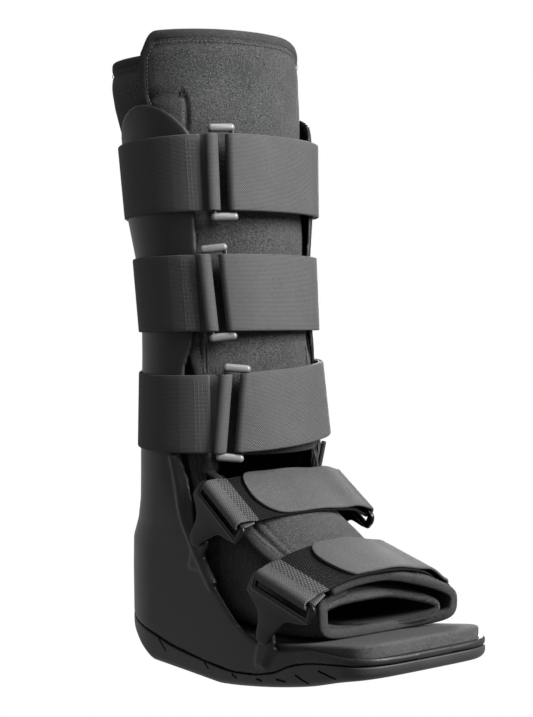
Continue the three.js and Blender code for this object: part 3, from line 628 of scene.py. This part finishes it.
def make_shell():
    levels = np.unique(np.concatenate([SECTIONS[:-2, 0], np.linspace(0, 1.01, 60)])) * UPRIGHT_TOP
    body = stack("shell_body", [half_outline(z) for z in levels], [shell_black])
    inside = stack("inside", [half_outline(z, WALL) for z in levels], [])
    cut(body, side_block("profile", shell_outline()), "INTERSECT")
    cut(inside, side_block("cavity", cavity_outline()), "INTERSECT")
    for side in (-1, 1):
        cut(body, shell_rib(side), "UNION")
        for bar in FOOT_STRAPS:
            cut(body, shell_lug(side, bar), "UNION")
    soften(cut(body, inside))
    body.name = "boot_shell"
    paint(body.data, [shell_black])
    body.data.shade_smooth()
    dress(body, ["shell"])


# Half sizes of the grooves in the side of the sole and of the treads under it, and pitch of the treads
GROOVE_DEEP, GROOVE_TALL = 2, 0.7
TREAD_HALF, TREAD_PITCH, TREAD_TURN = (37, 1.2, 1.5), 11, 4


def sole_cuts():
    """Boxes to cut out of the sole: centre, half size, slope and turn of each."""
    boxes = []
    for along, rise, length, slope in GROOVES:
        y, z = along * (TOE if along < 0 else HEEL), rise * SOLE_RISE
        for side in (-1, 1):
            place = (side * side_x(y, PLAN), y, z)
            boxes.append((place, (GROOVE_DEEP, length / 2, GROOVE_TALL), slope, 0))
    for i, y in enumerate(np.arange(-TOE + 14, HEEL - 8, TREAD_PITCH)):
        boxes.append(((0, y, float(ground_at(y))), TREAD_HALF, 0, TREAD_TURN if i % 2 else -TREAD_TURN))
    return boxes


def box_cutter(boxes):
    work = bmesh.new()
    for centre, half_size, slope, turn in boxes:
        place = Matrix.Translation(Vector(to_metres(centre)))
        lean = Matrix.Rotation(math.radians(turn), 4, "Z") @ Matrix.Rotation(math.radians(slope), 4, "X")
        size = Matrix.Diagonal((*(h / 500 for h in half_size), 1))
        bmesh.ops.create_cube(work, size=1, matrix=place @ lean @ size)
    mesh = bpy.data.meshes.new("grooves")
    work.to_mesh(mesh)
    work.free()
    return add_object("grooves", mesh)


def make_outsole():
    halves = []
    for cos, sin in zip(*cos_sin(np.linspace(0, 90, 7))):
        lift = TREAD_ROUND * (1 - cos)
        halves.append(raised(TREAD_ROUND * (1 - sin),
                             lambda y: np.minimum(ground_at(y) + lift, seam_at(y) - 1.2)))
    halves.append(raised(0, lambda y: seam_at(y) - 1))
    halves.append(raised(0.5, lambda y: seam_at(y) - CLEARANCE))
    sole = stack("rocker_sole", halves, [sole_black])
    cut(sole, box_cutter(sole_cuts()))
    sole.data.shade_smooth()
    dress(crease(sole, 30), ["outsole"])


def make_insole():
    fit, edge, shoulder = WALL + CLEARANCE, 2.2, 5
    halves = [raised(fit, lambda y: tray_at(y) + CLEARANCE)]
    for cos, sin in zip(*cos_sin(np.linspace(0, 90, 6))):
        inset, drop = edge * (1 - cos), edge * (1 - sin)
        halves.append(raised(fit + inset, lambda y: insole_top(y) - drop))
    halves.append(raised(fit + shoulder, insole_top))
    sole = stack("foam_insole", halves, [insole_grey])
    dress(crease(sole, 50), ["insole"])


# Padded cloth
def edge_steps(length, radius, count):
    """Steps from 0 to 1 that crowd at both ends, where the edge of a pad is round."""
    near = radius / length * np.array([0.04, 0.15, 0.33, 0.6, 1])
    return np.unique(np.concatenate([[0, 1], near, 1 - near, np.linspace(near[-1], 1 - near[-1], count)]))


def arc_length(points, axis):
    step = np.linalg.norm(np.diff(points, axis=axis), axis=-1)
    shape = list(points.shape[:2])
    shape[axis] = 1
    return np.concatenate([np.zeros(shape), np.cumsum(step, axis=axis)], axis=axis)


def make_pad(name, middle, relief, flat, steps, thickness, side, pitch=2.5):
    """A pad with round edges around a middle surface. The relief lifts its outer face, on the given side.

    Also gives back, at even steps, its upper or front edge and last side, with the outward normals.
    """
    us, vs = (edge_steps(length, thickness / 2, count) for length, count in zip(flat, steps))
    U, V = np.meshgrid(us, vs, indexing="ij")
    M = middle(U, V)
    normal = side * unit(np.cross(np.gradient(M, axis=0), np.gradient(M, axis=1)))
    su, sv = arc_length(M, 0), arc_length(M, 1)
    eu, ev = su[-1:] - su, sv[:, -1:] - sv
    edge = np.minimum(np.minimum(su, eu), np.minimum(sv, ev))
    radius = thickness / 2
    grown = radius * np.sqrt(1 - (1 - np.clip(edge / radius, 0, 1)) ** 2)
    lift = relief(M, U, eu, ev) * ease(edge, 0.3 * radius, 1.6 * radius)
    points = np.stack([M + normal * (grown + lift)[..., None], M - normal * grown[..., None]]).reshape(-1, 3)
    index = np.arange(U.size).reshape(U.shape)
    cells = np.stack([index[:-1, :-1], index[1:, :-1], index[1:, 1:], index[:-1, 1:]], -1).reshape(-1, 4)
    faces = np.concatenate([cells, cells[:, ::-1] + U.size])
    slots = np.repeat([0, 1], len(cells))
    obj = mesh_object(name, points, faces, [liner_cloth, lining_cloth], material_of=slots)
    return obj, resample(*(np.concatenate([grid[:, -1], grid[-1, -2::-1]]) for grid in (M, normal)), pitch)


def groove(distance, at, width=0.9, depth=1.0):
    return -depth * np.exp(-((distance - at) / width) ** 2)


def wrinkles(M, size, height, seed):
    """Slow waves that stand in for the unevenness of padded cloth."""
    rng = np.random.default_rng(seed)
    total = np.zeros(M.shape[:2])
    for _ in range(6):
        direction = rng.normal(size=3)
        direction *= 2 * math.pi / (size * rng.uniform(0.6, 1.6) * np.linalg.norm(direction))
        total += np.sin(M @ direction + rng.uniform(0, 6.28))
    return height * total / 3


def sweep(name, path, wide, thick, profile, mats, **extra):
    """A bar along a path. The profile's two axes at each point are wide and thick."""
    rings = path[:, None] + profile[None, :, :1] * wide[:, None] + profile[None, :, 1:] * thick[:, None]
    faces = side_faces(len(path), len(profile)) + end_faces(len(path), len(profile))
    return mesh_object(name, rings.reshape(-1, 3), faces, mats, **extra)


def resample(path, normals, step):
    length = path_length(path)
    at = np.linspace(0, length[-1], max(int(length[-1] / step), 2))
    return [np.stack([np.interp(at, length, line[:, k]) for k in range(3)], -1) for line in (path, normals)]


def stitches(name, rows, pitch, long, thick):
    """Rows of raised stitches. Each row is a path and the outward normals along it."""
    rings = [(-0.5, 0.15), (-0.35, 0.8), (0, 1), (0.35, 0.8), (0.5, 0.15)]
    wide, high = cos_sin(np.arange(0, 360, 60))
    n = len(wide)
    bead = np.array([(along * long, a * girth * thick, b * girth * thick)
                     for along, girth in rings for a, b in zip(wide, high)])
    points, faces = [], []
    for path, normals in rows:
        path, normals = resample(path, normals, pitch)
        for i in range(len(path) - 1):
            run, up = unit(path[i + 1] - path[i]), unit(normals[i])
            faces += side_faces(len(rings), n, len(points)) + end_faces(len(rings), n, len(points))
            points += list(path[i] + bead @ np.stack([run, np.cross(run, up), up]))
    return dress(mesh_object(name, points, faces, [thread]))


# The leg wrap. Its flap's edge and the seam of the stiffener in it are tables of height and angle.
STRAP_ZS = [strap.share * UPRIGHT_TOP for strap in CALF_STRAPS]
FLAP_EDGE = ([150, 190, 215, 300, 350, 384, 415], [44, 34, 26, 21, 14, 8, 10])
PATCH_LOW, PATCH_TOP = 219, 386
PATCH_EDGE = ([PATCH_LOW, 232, 280, 300, 375, PATCH_TOP], [44, 43, 33, 31, 42, 42])
LINER_FIT, LINER_START = WALL + 2 * CLEARANCE, 66


def liner_angle(z, U):
    """Angle of a place on the wrap, from under the lap round the back to the flap's edge."""
    return mix(LINER_START, np.interp(z, *FLAP_EDGE) - 360, U)


def liner_top(angle):
    on_flap = ease(-angle, 185, 235)
    tilt = 0.03 * ease(-angle, 172, 250)
    corner = 0.035 * ease(-angle, 332, 352) ** 3
    return LINER_TOP * (0.968 + 0.002 * on_flap + tilt - corner)


def liner_bottom(angle):
    foot = insole_top(leg_point(angle, PLAN, LINER_FIT)[..., 1]) + CLEARANCE
    _, ahead = cos_sin(angle)
    return mix(foot, 0.385 * UPRIGHT_TOP, ease(ahead, 0.6, 0.68))


def liner_middle(U, V):
    z = 100 + 0 * U
    for _ in range(4):
        angle = liner_angle(z, U)
        z = mix(liner_bottom(angle), liner_top(angle), V)
    at = section(z)
    lap = (LINER_WALL + LAP_GAP) * ease(angle, -35, 5) * ease(z, 0.6 * RIB_TOP, RIB_TOP)
    inset = LINER_FIT + LINER_WALL / 2 + lap
    return loop_point(angle, z, at.half - inset, at.centre, at.back - inset, at.pad + inset, 2 + 0 * z)


def patch_line(z):
    """Angle of the seam of the hidden stiffener on the flap, at a height."""
    return np.interp(z, *PATCH_EDGE) - 360


def liner_relief(M, U, eu, ev):
    z = M[..., 2]
    angle = liner_angle(z, U)
    straps = sum(np.exp(-np.abs((z - s) / (0.62 * STRAP_WIDTH)) ** 6) for s in STRAP_ZS)
    puff = 0.9 * (1 - np.clip(straps, 0, 1)) * ease(np.minimum(eu, ev), 6, 22)
    band = groove(ev, 9.5, 1.3, 1.3) + groove(eu, 9.5, 1.3, 1.1) * ease(-angle, 250, 300)
    on_patch = ease(z, PATCH_LOW - 1, PATCH_LOW + 5) * (1 - ease(z, PATCH_TOP - 2, PATCH_TOP + 1))
    seam = groove((angle - patch_line(z)) * 1.02, 0, 1.5, 2) * on_patch
    behind = 1 - ease(angle - patch_line(z), -1, 1)
    ends = (groove(z - PATCH_TOP, 0, 1.5, 2) + groove(z - PATCH_LOW, 0, 1.5, 2)) * behind
    return puff + band + (seam + ends) * ease(-angle, 290, 300) + wrinkles(M, 55, 0.22, 3)


def make_leg_liner():
    obj, edge = make_pad("leg_wrap", liner_middle, liner_relief, (480, 380), (320, 130), LINER_WALL, -1)
    dress(obj, ["leg_liner"])
    return edge


# The foot sleeve: angles where it starts and ends, bow of the flap's edge, places of its front edge,
# and how much wider it is at the toe
SLEEVE_START, SLEEVE_END, SLEEVE_BOW = 60, -318, 13
SLEEVE_FRONT, SLEEVE_REACH, SLEEVE_FLAP, SLEEVE_TOE, SLEEVE_FLARE = 160, 19, 3, 171, 3.5
LIMIT_YS = np.linspace(-TOE, HEEL, 60)
LIMIT_XS = np.array([side_x(y, 0.2 * UPRIGHT_TOP, WALL + CLEARANCE) for y in LIMIT_YS])


def sleeve_top(y):
    """Height of the sleeve's top: under both foot straps, and straight between and beyond them."""
    rows = [ring_point(bar, edge * bar.width, STRAP / 2 + STRAP_LIFT - bar.crown)[1:]
            for bar in FOOT_STRAPS for edge in (-0.5, 0.5)]
    rows.insert(0, (-SLEEVE_BACK, rows[0][1] + 14))
    rows.append(2 * rows[-1] - rows[-2])
    rows = np.array(rows)
    return np.interp(-np.asarray(y), -rows[:, 0], rows[:, 1])


def sleeve_middle(U, V):
    bow = SLEEVE_BOW * np.exp(-((V - 0.35) / 0.3) ** 2)
    angle = mix(SLEEVE_START, SLEEVE_END - bow, U)
    from_top = np.abs(((angle + 450) % 360) - 180)
    notch = 1 - ease(from_top, 18, 50)
    across, up = cos_sin(angle)
    on_flap = ease(-angle, 180, 225) * (1 - ease(-across, 0.3, 1))
    under_lap = ease(angle, -20, 30)
    front = SLEEVE_FRONT + SLEEVE_REACH * ease(-across, 0.05, 1) + SLEEVE_FLAP * (on_flap - under_lap)
    y = -mix(SLEEVE_BACK * (1 + 0.5 * notch), front, V)
    bottom = insole_top(y) + CLEARANCE
    top = sleeve_top(y)
    depth = SLEEVE_WALL / 2
    lap = (SLEEVE_WALL + SLEEVE_LAP) * ease(angle, -70, 0)
    flare = SLEEVE_FLARE * ease(-y, 0.88 * SLEEVE_TOE, SLEEVE_TOE)
    half = np.minimum(SLEEVE_HALF + flare, np.interp(y, LIMIT_YS, LIMIT_XS))
    power = np.where(up > 0, 2.1, 4)
    rise = (top - bottom) / 2 - depth - np.where(up > 0, lap, 0)
    z = (bottom + top) / 2 + rise * rounded(up, power)
    return np.stack([-(half - depth - lap) * rounded(across, power), y, z], -1)


def sleeve_relief(M, U, eu, ev):
    y = M[..., 1]
    pull = sum(np.exp(-((y - bar.y) / (0.5 * bar.width)) ** 4) for bar in FOOT_STRAPS)
    puff = 0.6 * (1 - np.clip(pull, 0, 1)) * ease(np.minimum(eu, ev), 5, 18)
    band = groove(ev, 9, 1.2, 1.3) + groove(eu, 8.5, 1.4, 1.8) + groove(eu, 15, 1.2, 1)
    return puff + band + wrinkles(M, 34, 0.35, 8)


def make_foot_liner():
    obj, edge = make_pad("foot_sleeve", sleeve_middle, sleeve_relief, (330, 115), (260, 90),
                         SLEEVE_WALL, 1, 2.0)
    dress(obj, ["foot_liner"])
    return edge


# The folded layer in the toe opening: flat length round it, length ahead, wall and front edge
FOLD_ROUND, FOLD_LONG, FOLD_WALL, FOLD_FRONT = 200, 34, 5.2, 158


def toe_fold_middle(U, V):
    """The folded inner layer at the toe: a soft flat ring that leaves a narrow mouth."""
    angle = mix(-80, 275, U)
    across, up = cos_sin(angle)
    lip = FOLD_FRONT + 15 * ease(-across, 0.1, 1)
    y = -mix(lip - FOLD_LONG, lip, V)
    low, high = insole_top(y) + 4.2, sleeve_top(y) - 2.5 * SLEEVE_WALL - 1.5
    half = SLEEVE_HALF - 2 * SLEEVE_WALL + 2.5
    sag = 1.6 * (1 - across ** 2) * (up > 0)
    z = (low + high) / 2 + (high - low) / 2 * rounded(up, 2.4) - sag
    return np.stack([-half * rounded(across, 2.6), y, z], -1)


def fold_relief(M, U, eu, ev):
    return groove(ev, 7.5, 1.0, 1.0) + wrinkles(M, 24, 0.4, 5)


def make_toe_fold():
    obj, _ = make_pad("toe_fold", toe_fold_middle, fold_relief, (FOLD_ROUND, FOLD_LONG), (150, 26),
                      FOLD_WALL, -1)
    dress(obj)


def make_far_tab():
    """A folded tab of cloth behind the far upright, above the instep."""
    x, radius = 45, 1.7
    inner = spline([(x, -25.5, 128.3), (x, -31, 141), (x, -38, 150.5), (x, -43, 142), (x, -44.5, 130)], 8)
    outer = spline([(x + 2, -46, 128), (x + 2, -50, 141), (x + 2, -53, 151.5)], 8)
    tab = tube("far_tab", inner, radius, [binding_cloth])
    dress(join(tab, tube("edge", outer, radius, [binding_cloth])))


def bind_edges(name, edge, width, thick, side):
    """A flat tube round a pad's edge. Gives back the line for the stitches beside it."""
    path, normals = edge
    tangent = unit(np.gradient(path, axis=0))
    inward = unit(side * np.cross(normals, tangent))
    out = side * np.cross(tangent, inward)
    a, b = (rounded(value, 3.2) / 2 for value in cos_sin(np.arange(0, 360, 18)))
    profile = np.stack([a * width + width / 2 - 0.6, b * thick], -1)
    dress(sweep(name, path, inward, out, profile, [binding_cloth]))
    return path + inward * (width + 0.6) + out * (thick / 2 - 0.15), out


# Webbing
def strap_mesh(name, low_edge, high_edge, mats, material_of=None):
    """Webbing between two edge paths, with round edges and UVs in millimetres."""
    steps = len(low_edge)
    centre = (low_edge + high_edge) / 2
    span = high_edge - low_edge
    normal = unit(np.cross(unit(np.gradient(centre, axis=0)), span))
    width = np.linalg.norm(span[0])
    r = STRAP / 2
    e = r / width
    shares = np.linspace(-0.5 + e, 0.5 - e, 15)
    right = [(0.5 - e + e * a, r * b) for a, b in zip(*cos_sin(np.linspace(60, -60, 5)))]
    left = [(-share, -height) for share, height in right]
    loop = np.array([(s, r) for s in shares] + right + [(s, -r) for s in shares[::-1]] + left)
    n = len(loop)
    uv = np.stack([np.repeat(path_length(centre), n), np.tile(loop[:, 0] * width, steps)], -1)
    slots = None
    if material_of is not None:
        slots = np.concatenate([np.repeat(material_of[:-1], n), material_of[[0, -1]]])
    return sweep(name, centre, span, normal, loop, mats, uv=uv, material_of=slots)


# Heights of the two layers over the shell, radius of a wrap round a bar and place of the buckle's bars
LAYER = CLEARANCE + STRAP / 2
OUTER = LAYER + STRAP + CLEARANCE
WRAP = math.hypot(BUCKLE_BAR, BUCKLE_DEPTH) / 2 + SLACK + STRAP / 2
BAR_OFFSET = (BUCKLE_WIDTH - BUCKLE_BAR) / 2


def leg_degrees(distance):
    """Angle that a distance round the leg takes."""
    return 180 * distance / (math.pi * LEG)


def strap_height(strap, v):
    return strap.share * UPRIGHT_TOP + (v - 0.5) * STRAP_WIDTH


def sloped(strap, p):
    rise = strap.side_slope * p[..., 0] + strap.back_slope * p[..., 1]
    return p + np.stack([0 * rise, 0 * rise, rise], -1)


def calf_path(strap, v, angles, lift):
    """Level path on the leg, set where the sloped strap will lie. v runs from the lower edge to the upper."""
    z = strap_height(strap, v) + 0 * angles
    flat = leg_point(angles, z, -lift)
    settled = leg_point(angles, sloped(strap, flat)[..., 2], -lift)
    return np.stack([settled[..., 0], settled[..., 1], z], -1)


def buckle_frame(strap, v):
    """Middle of the buckle, its run round the leg and the way outward, in plan."""
    def at(angle, height):
        return calf_path(strap, height, np.array([float(angle)]), LAYER + WRAP)[0, :2]
    middle = at(strap.buckle + strap.lean * (0.5 - v), v)
    along = unit(at(strap.buckle + 2, 0.5) - at(strap.buckle - 2, 0.5))
    return middle, along, np.array([along[1], -along[0]])


def bar_wrap(strap, v, x, start, end):
    """Path round a bar of the buckle, which lies x from its middle."""
    middle, along, outward = buckle_frame(strap, v)
    ahead, out = cos_sin(np.linspace(start, end, 22))
    flat = middle + (x + WRAP * ahead)[:, None] * along + (WRAP * out)[:, None] * outward
    return np.concatenate([flat, np.full((len(flat), 1), strap_height(strap, v))], 1)


def both_edges(strap, *stretches):
    """The lower and upper edge of webbing. A stretch is a path function and what it takes after v."""
    return [sloped(strap, np.concatenate([path(strap, v, *rest) for path, *rest in stretches]))
            for v in (0, 1)]


def make_anchor(strap):
    cut_end = strap.buckle - leg_degrees(SEWN_LEAD)
    share = np.linspace(0, 1, 170)
    angles = np.linspace(ANCHOR_FAR, cut_end, 170)
    lift = LAYER + 0.9 * STRAP * ease(share, 0.9, 0.97)
    edges = both_edges(strap, (calf_path, angles, lift))
    # The anchor's band takes the darker webbing copy, which is painted shade; its sewn end keeps the
    # webbing's own grey
    band = strap_mesh(f"{strap.name}_band", *edges, [strap_painted_shade, strap_grey],
                      material_of=(share > 0.91).astype(int))
    start = np.linspace(cut_end - 4, cut_end + 3, 6)
    edges = both_edges(strap, (calf_path, start, LAYER), (bar_wrap, -BAR_OFFSET, -90, 150))
    loop = strap_mesh(f"{strap.name}_loop", *edges, [strap_grey])
    for piece in (band, loop):
        dress(piece, [f"{strap.name}_strap_anchor"])


def make_front(strap):
    bar = strap.buckle + leg_degrees(BAR_OFFSET + WRAP)
    under, over = np.linspace(FRONT_LOW_END, bar, 70), np.linspace(bar, FRONT_TOP_END, 90)
    lift = mix(LAYER + 2 * WRAP, OUTER, ease(np.linspace(0, 1, 90), 0, 0.4))
    edges = both_edges(strap, (calf_path, under, LAYER), (bar_wrap, BAR_OFFSET, -90, -270),
                       (calf_path, over, lift))
    front = strap_mesh(f"{strap.name}_pull", *edges, [strap_grey])
    dress(front, [f"{strap.name}_strap_front"])


def sew_anchor(strap):
    """Four rows of stitches across the sewn end, facing away from the middle of the leg."""
    rows = []
    t = np.linspace(0, 1, 40)[:, None]
    for back in (2.2, 5.0, 7.8, 10.6):
        angle = np.array([strap.buckle - leg_degrees(SEWN_LEAD) - leg_degrees(back)])
        low, high = (sloped(strap, calf_path(strap, v, angle, LAYER + 1.4 * STRAP)) for v in (0.04, 0.96))
        path = low * (1 - t) + high * t
        rows.append((path, (path + (0, 10, 0)) * (1, 1, 0)))
    stitches(f"{strap.name}_band_stitches", rows, 2.4, 1.6, 0.3)


def frame_matrix(x_axis, y_axis, z_axis, origin):
    rows = np.stack([x_axis, y_axis, z_axis], 1)
    matrix = Matrix([[*row, 0] for row in rows.tolist()] + [[0, 0, 0, 1]])
    matrix.translation = Vector(to_metres(origin))
    return matrix


def corner_arcs(corners, radius):
    """Quarter turns one after another, each from its centre and first angle."""
    return [(x + radius * a, y + radius * b) for x, y, first in corners
            for a, b in zip(*cos_sin(np.linspace(first, first + 90, 8)))]


def rounded_box(half_x, half_y, radius):
    x, y = half_x - radius, half_y - radius
    return corner_arcs([(x, y, 0), (-x, y, 90), (-x, -y, 180), (x, -y, 270)], radius)


def buckle_axes(strap):
    """Middle of the buckle, and its axes across, up and out."""
    ends = [sloped(strap, np.array([*buckle_frame(strap, v)[0], strap_height(strap, v)])) for v in (0, 1)]
    up = unit(ends[1] - ends[0])
    out = unit(np.cross([*buckle_frame(strap, 0.5)[1], 0], up))
    return (ends[0] + ends[1]) / 2, np.cross(up, out), up, out


def make_buckle(strap):
    centre, across, up, out = buckle_axes(strap)
    half, hole = BUCKLE_WIDTH / 2, STRAP_WIDTH / 2 + BUCKLE_SLACK
    loops = [rounded_box(half, hole + CAP, 3.6), rounded_box(half - BUCKLE_BAR, hole, 0.8)]
    body = plate_curve(f"{strap.name}_slide", loops, BUCKLE_DEPTH, 0.9,
                       frame_matrix(across, up, out, centre), [gloss_black])
    caps = []
    for side in (-1, 1):
        place = frame_matrix(across, up, out, centre + up * side * (hole + CAP / 2 + 0.3))
        caps.append(plate_curve("cap", [rounded_box(half + 0.6, CAP / 2 + 0.7, 2.5)],
                                BUCKLE_DEPTH + 2, 2.2, place, [cap_grey]))
    cap = join(*caps)
    cap.name = f"{strap.name}_slide_caps"
    for piece in (body, cap):
        dress(piece, [f"{strap.name}_buckle"])


# Rings and straps of the foot
def bend(line, *controls):
    """Carries a line on along a curve through its control points."""
    controls = [np.array(p, float) for p in (line[-1], *controls)]
    for t in np.linspace(0, 1, 11)[1:]:
        work = controls
        while len(work) > 1:
            work = [mix(a, b, t) for a, b in zip(work, work[1:])]
        line.append(tuple(work[0]))


def ring_outline(width):
    """Outline of a ring's plate: the bar at the top and the lobe on the shell below."""
    half = width / 2 + RING_MARGIN
    lobe, stem, bar = -LOBE_SHIFT, RING_STEM, RING_BAR
    line = [(half - 2, -bar / 2)]
    bend(line, (half + 2, 0), (half + 1, 0.18 * stem))
    bend(line, (half - 1, 0.5 * stem), (0.4 * half, 0.4 * stem), (0.25 * half, 0.6 * stem))
    line += [(lobe + LOBE * a, stem + LOBE * b) for a, b in zip(*cos_sin(np.linspace(0, 180, 14)))]
    bend(line, (lobe - LOBE, 0.6 * stem), (-0.7 * half, 0.6 * stem), (-half - 2, 0.42 * stem))
    bend(line, (-half - 4, 0.2 * stem), (-half + 1, -bar / 2))
    return line


def ring_rim(reach, end):
    """Closed path of the round rim about the slot, and its girth, thicker below the bar."""
    radius, aside, bottom = 1.75, reach + 0.8, end + 0.4
    top = 0.8 + radius / 2
    corners = [(aside, top, 270), (aside, bottom, 0), (-aside, bottom, 90), (-aside, top, 180)]
    loop = corner_arcs(corners, radius)
    return loop, [1.5 if down < 1.7 else 1.85 for _, down in loop]


def make_ring(side, bar, label):
    run, drop = ring_axes(bar.slope)
    tilted = unit(drop + (side * math.tan(math.radians(RING_LEAN)), 0, 0))
    middle = np.array([side * bar.x, bar.y, bar.z])
    reach = bar.width / 2 + 2 * CLEARANCE
    top, end = RING_BAR / 2, RING_BAR / 2 + RING_SLOT
    slot = [(-reach, top), (reach, top), (reach, end), (-reach, end)]
    plate = plate_curve(f"{label}_{bar.name}_hook", [ring_outline(bar.width), slot], RING, 0.7,
                        frame_matrix(run, tilted, np.cross(run, tilted), middle), [gloss_black])
    loop, girth = ring_rim(reach, end)
    rim = tube("rim", [middle + a * run + b * tilted for a, b in loop], girth, [gloss_black], closed=True)
    dress(join(plate, rim), [f"{label}_{bar.name}_ring"])


def foot_strap_parts(bar):
    """Side view of a foot strap, across the foot: sewn end, near turn, lower layer, far turn, upper layer."""
    radius = math.hypot(RING_BAR, RING) / 2 + SLACK + STRAP / 2
    step = STRAP + CLEARANCE

    def span(start, end, extra, count):
        x = np.linspace(start, end, count)
        share = x / bar.x
        level = radius * (ease(-share, 0.7, 1) - ease(share, 0.7, 1))
        height = bar.crown * (1 - np.abs(share) ** CROWN_ROUND) + level + extra(share)
        return np.stack([x, height], -1)

    def turn(x, first, last):
        return (x, 0) + radius * np.stack(cos_sin(np.linspace(first, last, 26)), -1)

    def upper(share):
        ripple = 0.35 * np.sin(share * 9) * (1 - np.abs(share))
        return step + (2 * radius - step) * ease(share, 0.5, 1) + ripple

    return [
        span(-0.8 * bar.x, -0.8 * bar.x, lambda share: -step + 0 * share, 1),
        turn(-bar.x, 305, 90),
        span(-0.92 * bar.x, 0.88 * bar.x, lambda share: 0 * share, 90),
        turn(bar.x, -125, 90),
        span(0.9 * bar.x, bar.tip, upper, 70),
    ]


def make_foot_strap(bar):
    parts = foot_strap_parts(bar)
    flat = np.concatenate(parts)
    kinds = np.concatenate([np.full(len(p), k) for k, p in enumerate(parts)])
    sewn = (kinds == 2) & (flat[:, 0] < -0.76 * bar.x)
    material = np.select([kinds <= 1, sewn, kinds == 2], [0, 1, 2], 3)
    length = path_length(flat)
    edges = []
    for v, corner in ((-0.5, bar.back_corner), (0.5, bar.front_corner)):
        from_tip = np.clip((length[-1] - length) / corner, 0, 1)
        narrow = np.sqrt(np.clip(1 - (1 - from_tip) ** 2.4, 0.02, 1))
        edges.append(ring_point(bar, v * bar.width * narrow, -flat[:, 1], flat[:, 0]))
    strap = strap_mesh(f"{bar.name}_pull", *edges, [strap_grey, sewn_grid, hook_face, loop_face],
                       material_of=material)
    dress(strap, [f"{bar.name}_strap"])


make_shell()
make_outsole()
make_insole()
leg_edge = make_leg_liner()
foot_edge = make_foot_liner()
make_toe_fold()
make_far_tab()
leg_seam = bind_edges("leg_wrap_binding", leg_edge, 7.5, LINER_WALL + 0.9, 1)
foot_seam = bind_edges("foot_sleeve_binding", foot_edge, 6.5, SLEEVE_WALL + 0.8, -1)
stitches("liner_stitches", [leg_seam, foot_seam], 2.8, 1.9, 0.3)
for calf_strap in CALF_STRAPS:
    make_anchor(calf_strap)
    make_front(calf_strap)
    sew_anchor(calf_strap)
    make_buckle(calf_strap)
for foot_bar in FOOT_STRAPS:
    make_foot_strap(foot_bar)
    make_ring(-1, foot_bar, "near")
    make_ring(1, foot_bar, "far")

# Camera, floor and light. The camera's place, aim and lens were worked out from the photograph.
EYE = (-603.9, -838.8, 242.5)
AIM = (0.607, 0.794, 0)
PIXEL_FOCUS, FRAME_HEIGHT, HORIZON, SENSOR = 1472.3, 717, 310.4, 36


def make_camera():
    camera = configure(bpy.data.cameras.new("camera"), sensor_width=SENSOR,
                       lens=PIXEL_FOCUS / FRAME_HEIGHT * SENSOR, clip_start=0.05, clip_end=60)
    eye = add_object("camera", camera)
    eye.location = to_metres(EYE)
    drop = math.atan((FRAME_HEIGHT / 2 - HORIZON) / PIXEL_FOCUS)
    aim = Vector(AIM).normalized() * math.cos(drop) - Vector((0, 0, 1)) * math.sin(drop)
    eye.rotation_euler = aim.to_track_quat("-Z", "Y").to_euler()
    scene.camera = eye


def softbox(name, place, target, size, power):
    light = configure(bpy.data.lights.new(name, "AREA"), shape="RECTANGLE", size=size[0],
                      size_y=size[1], energy=power)
    obj = add_object(name, light)
    obj.location = to_metres(place)
    obj.rotation_euler = (Vector(to_metres(target)) - obj.location).to_track_quat("-Z", "Y").to_euler()


make_camera()
WHITE = (1, 1, 1, 1)
floor_white = new_material("floor_white", 0, 1, 0, Emission_Color=WHITE, Emission_Strength=1.0)
bpy.ops.mesh.primitive_plane_add(size=60, location=(0, 0, -0.0006))
floor = bpy.context.object
floor.name = "floor"
floor.data.materials.append(floor_white)

world = bpy.data.worlds.new("studio")
world.use_nodes = True
background = world.node_tree.nodes["Background"]
background.inputs["Color"].default_value = WHITE
background.inputs["Strength"].default_value = 1.0
scene.world = world
scene.view_settings.view_transform = "Standard"

softbox("key", (500, -1500, 1100), (0, -40, 200), (0.7, 1.1), 320)
softbox("top", (0, -500, 1500), (0, -40, 100), (0.7, 0.7), 30)
softbox("rim", (900, 900, 700), (0, 0, 250), (0.5, 1.2), 60)
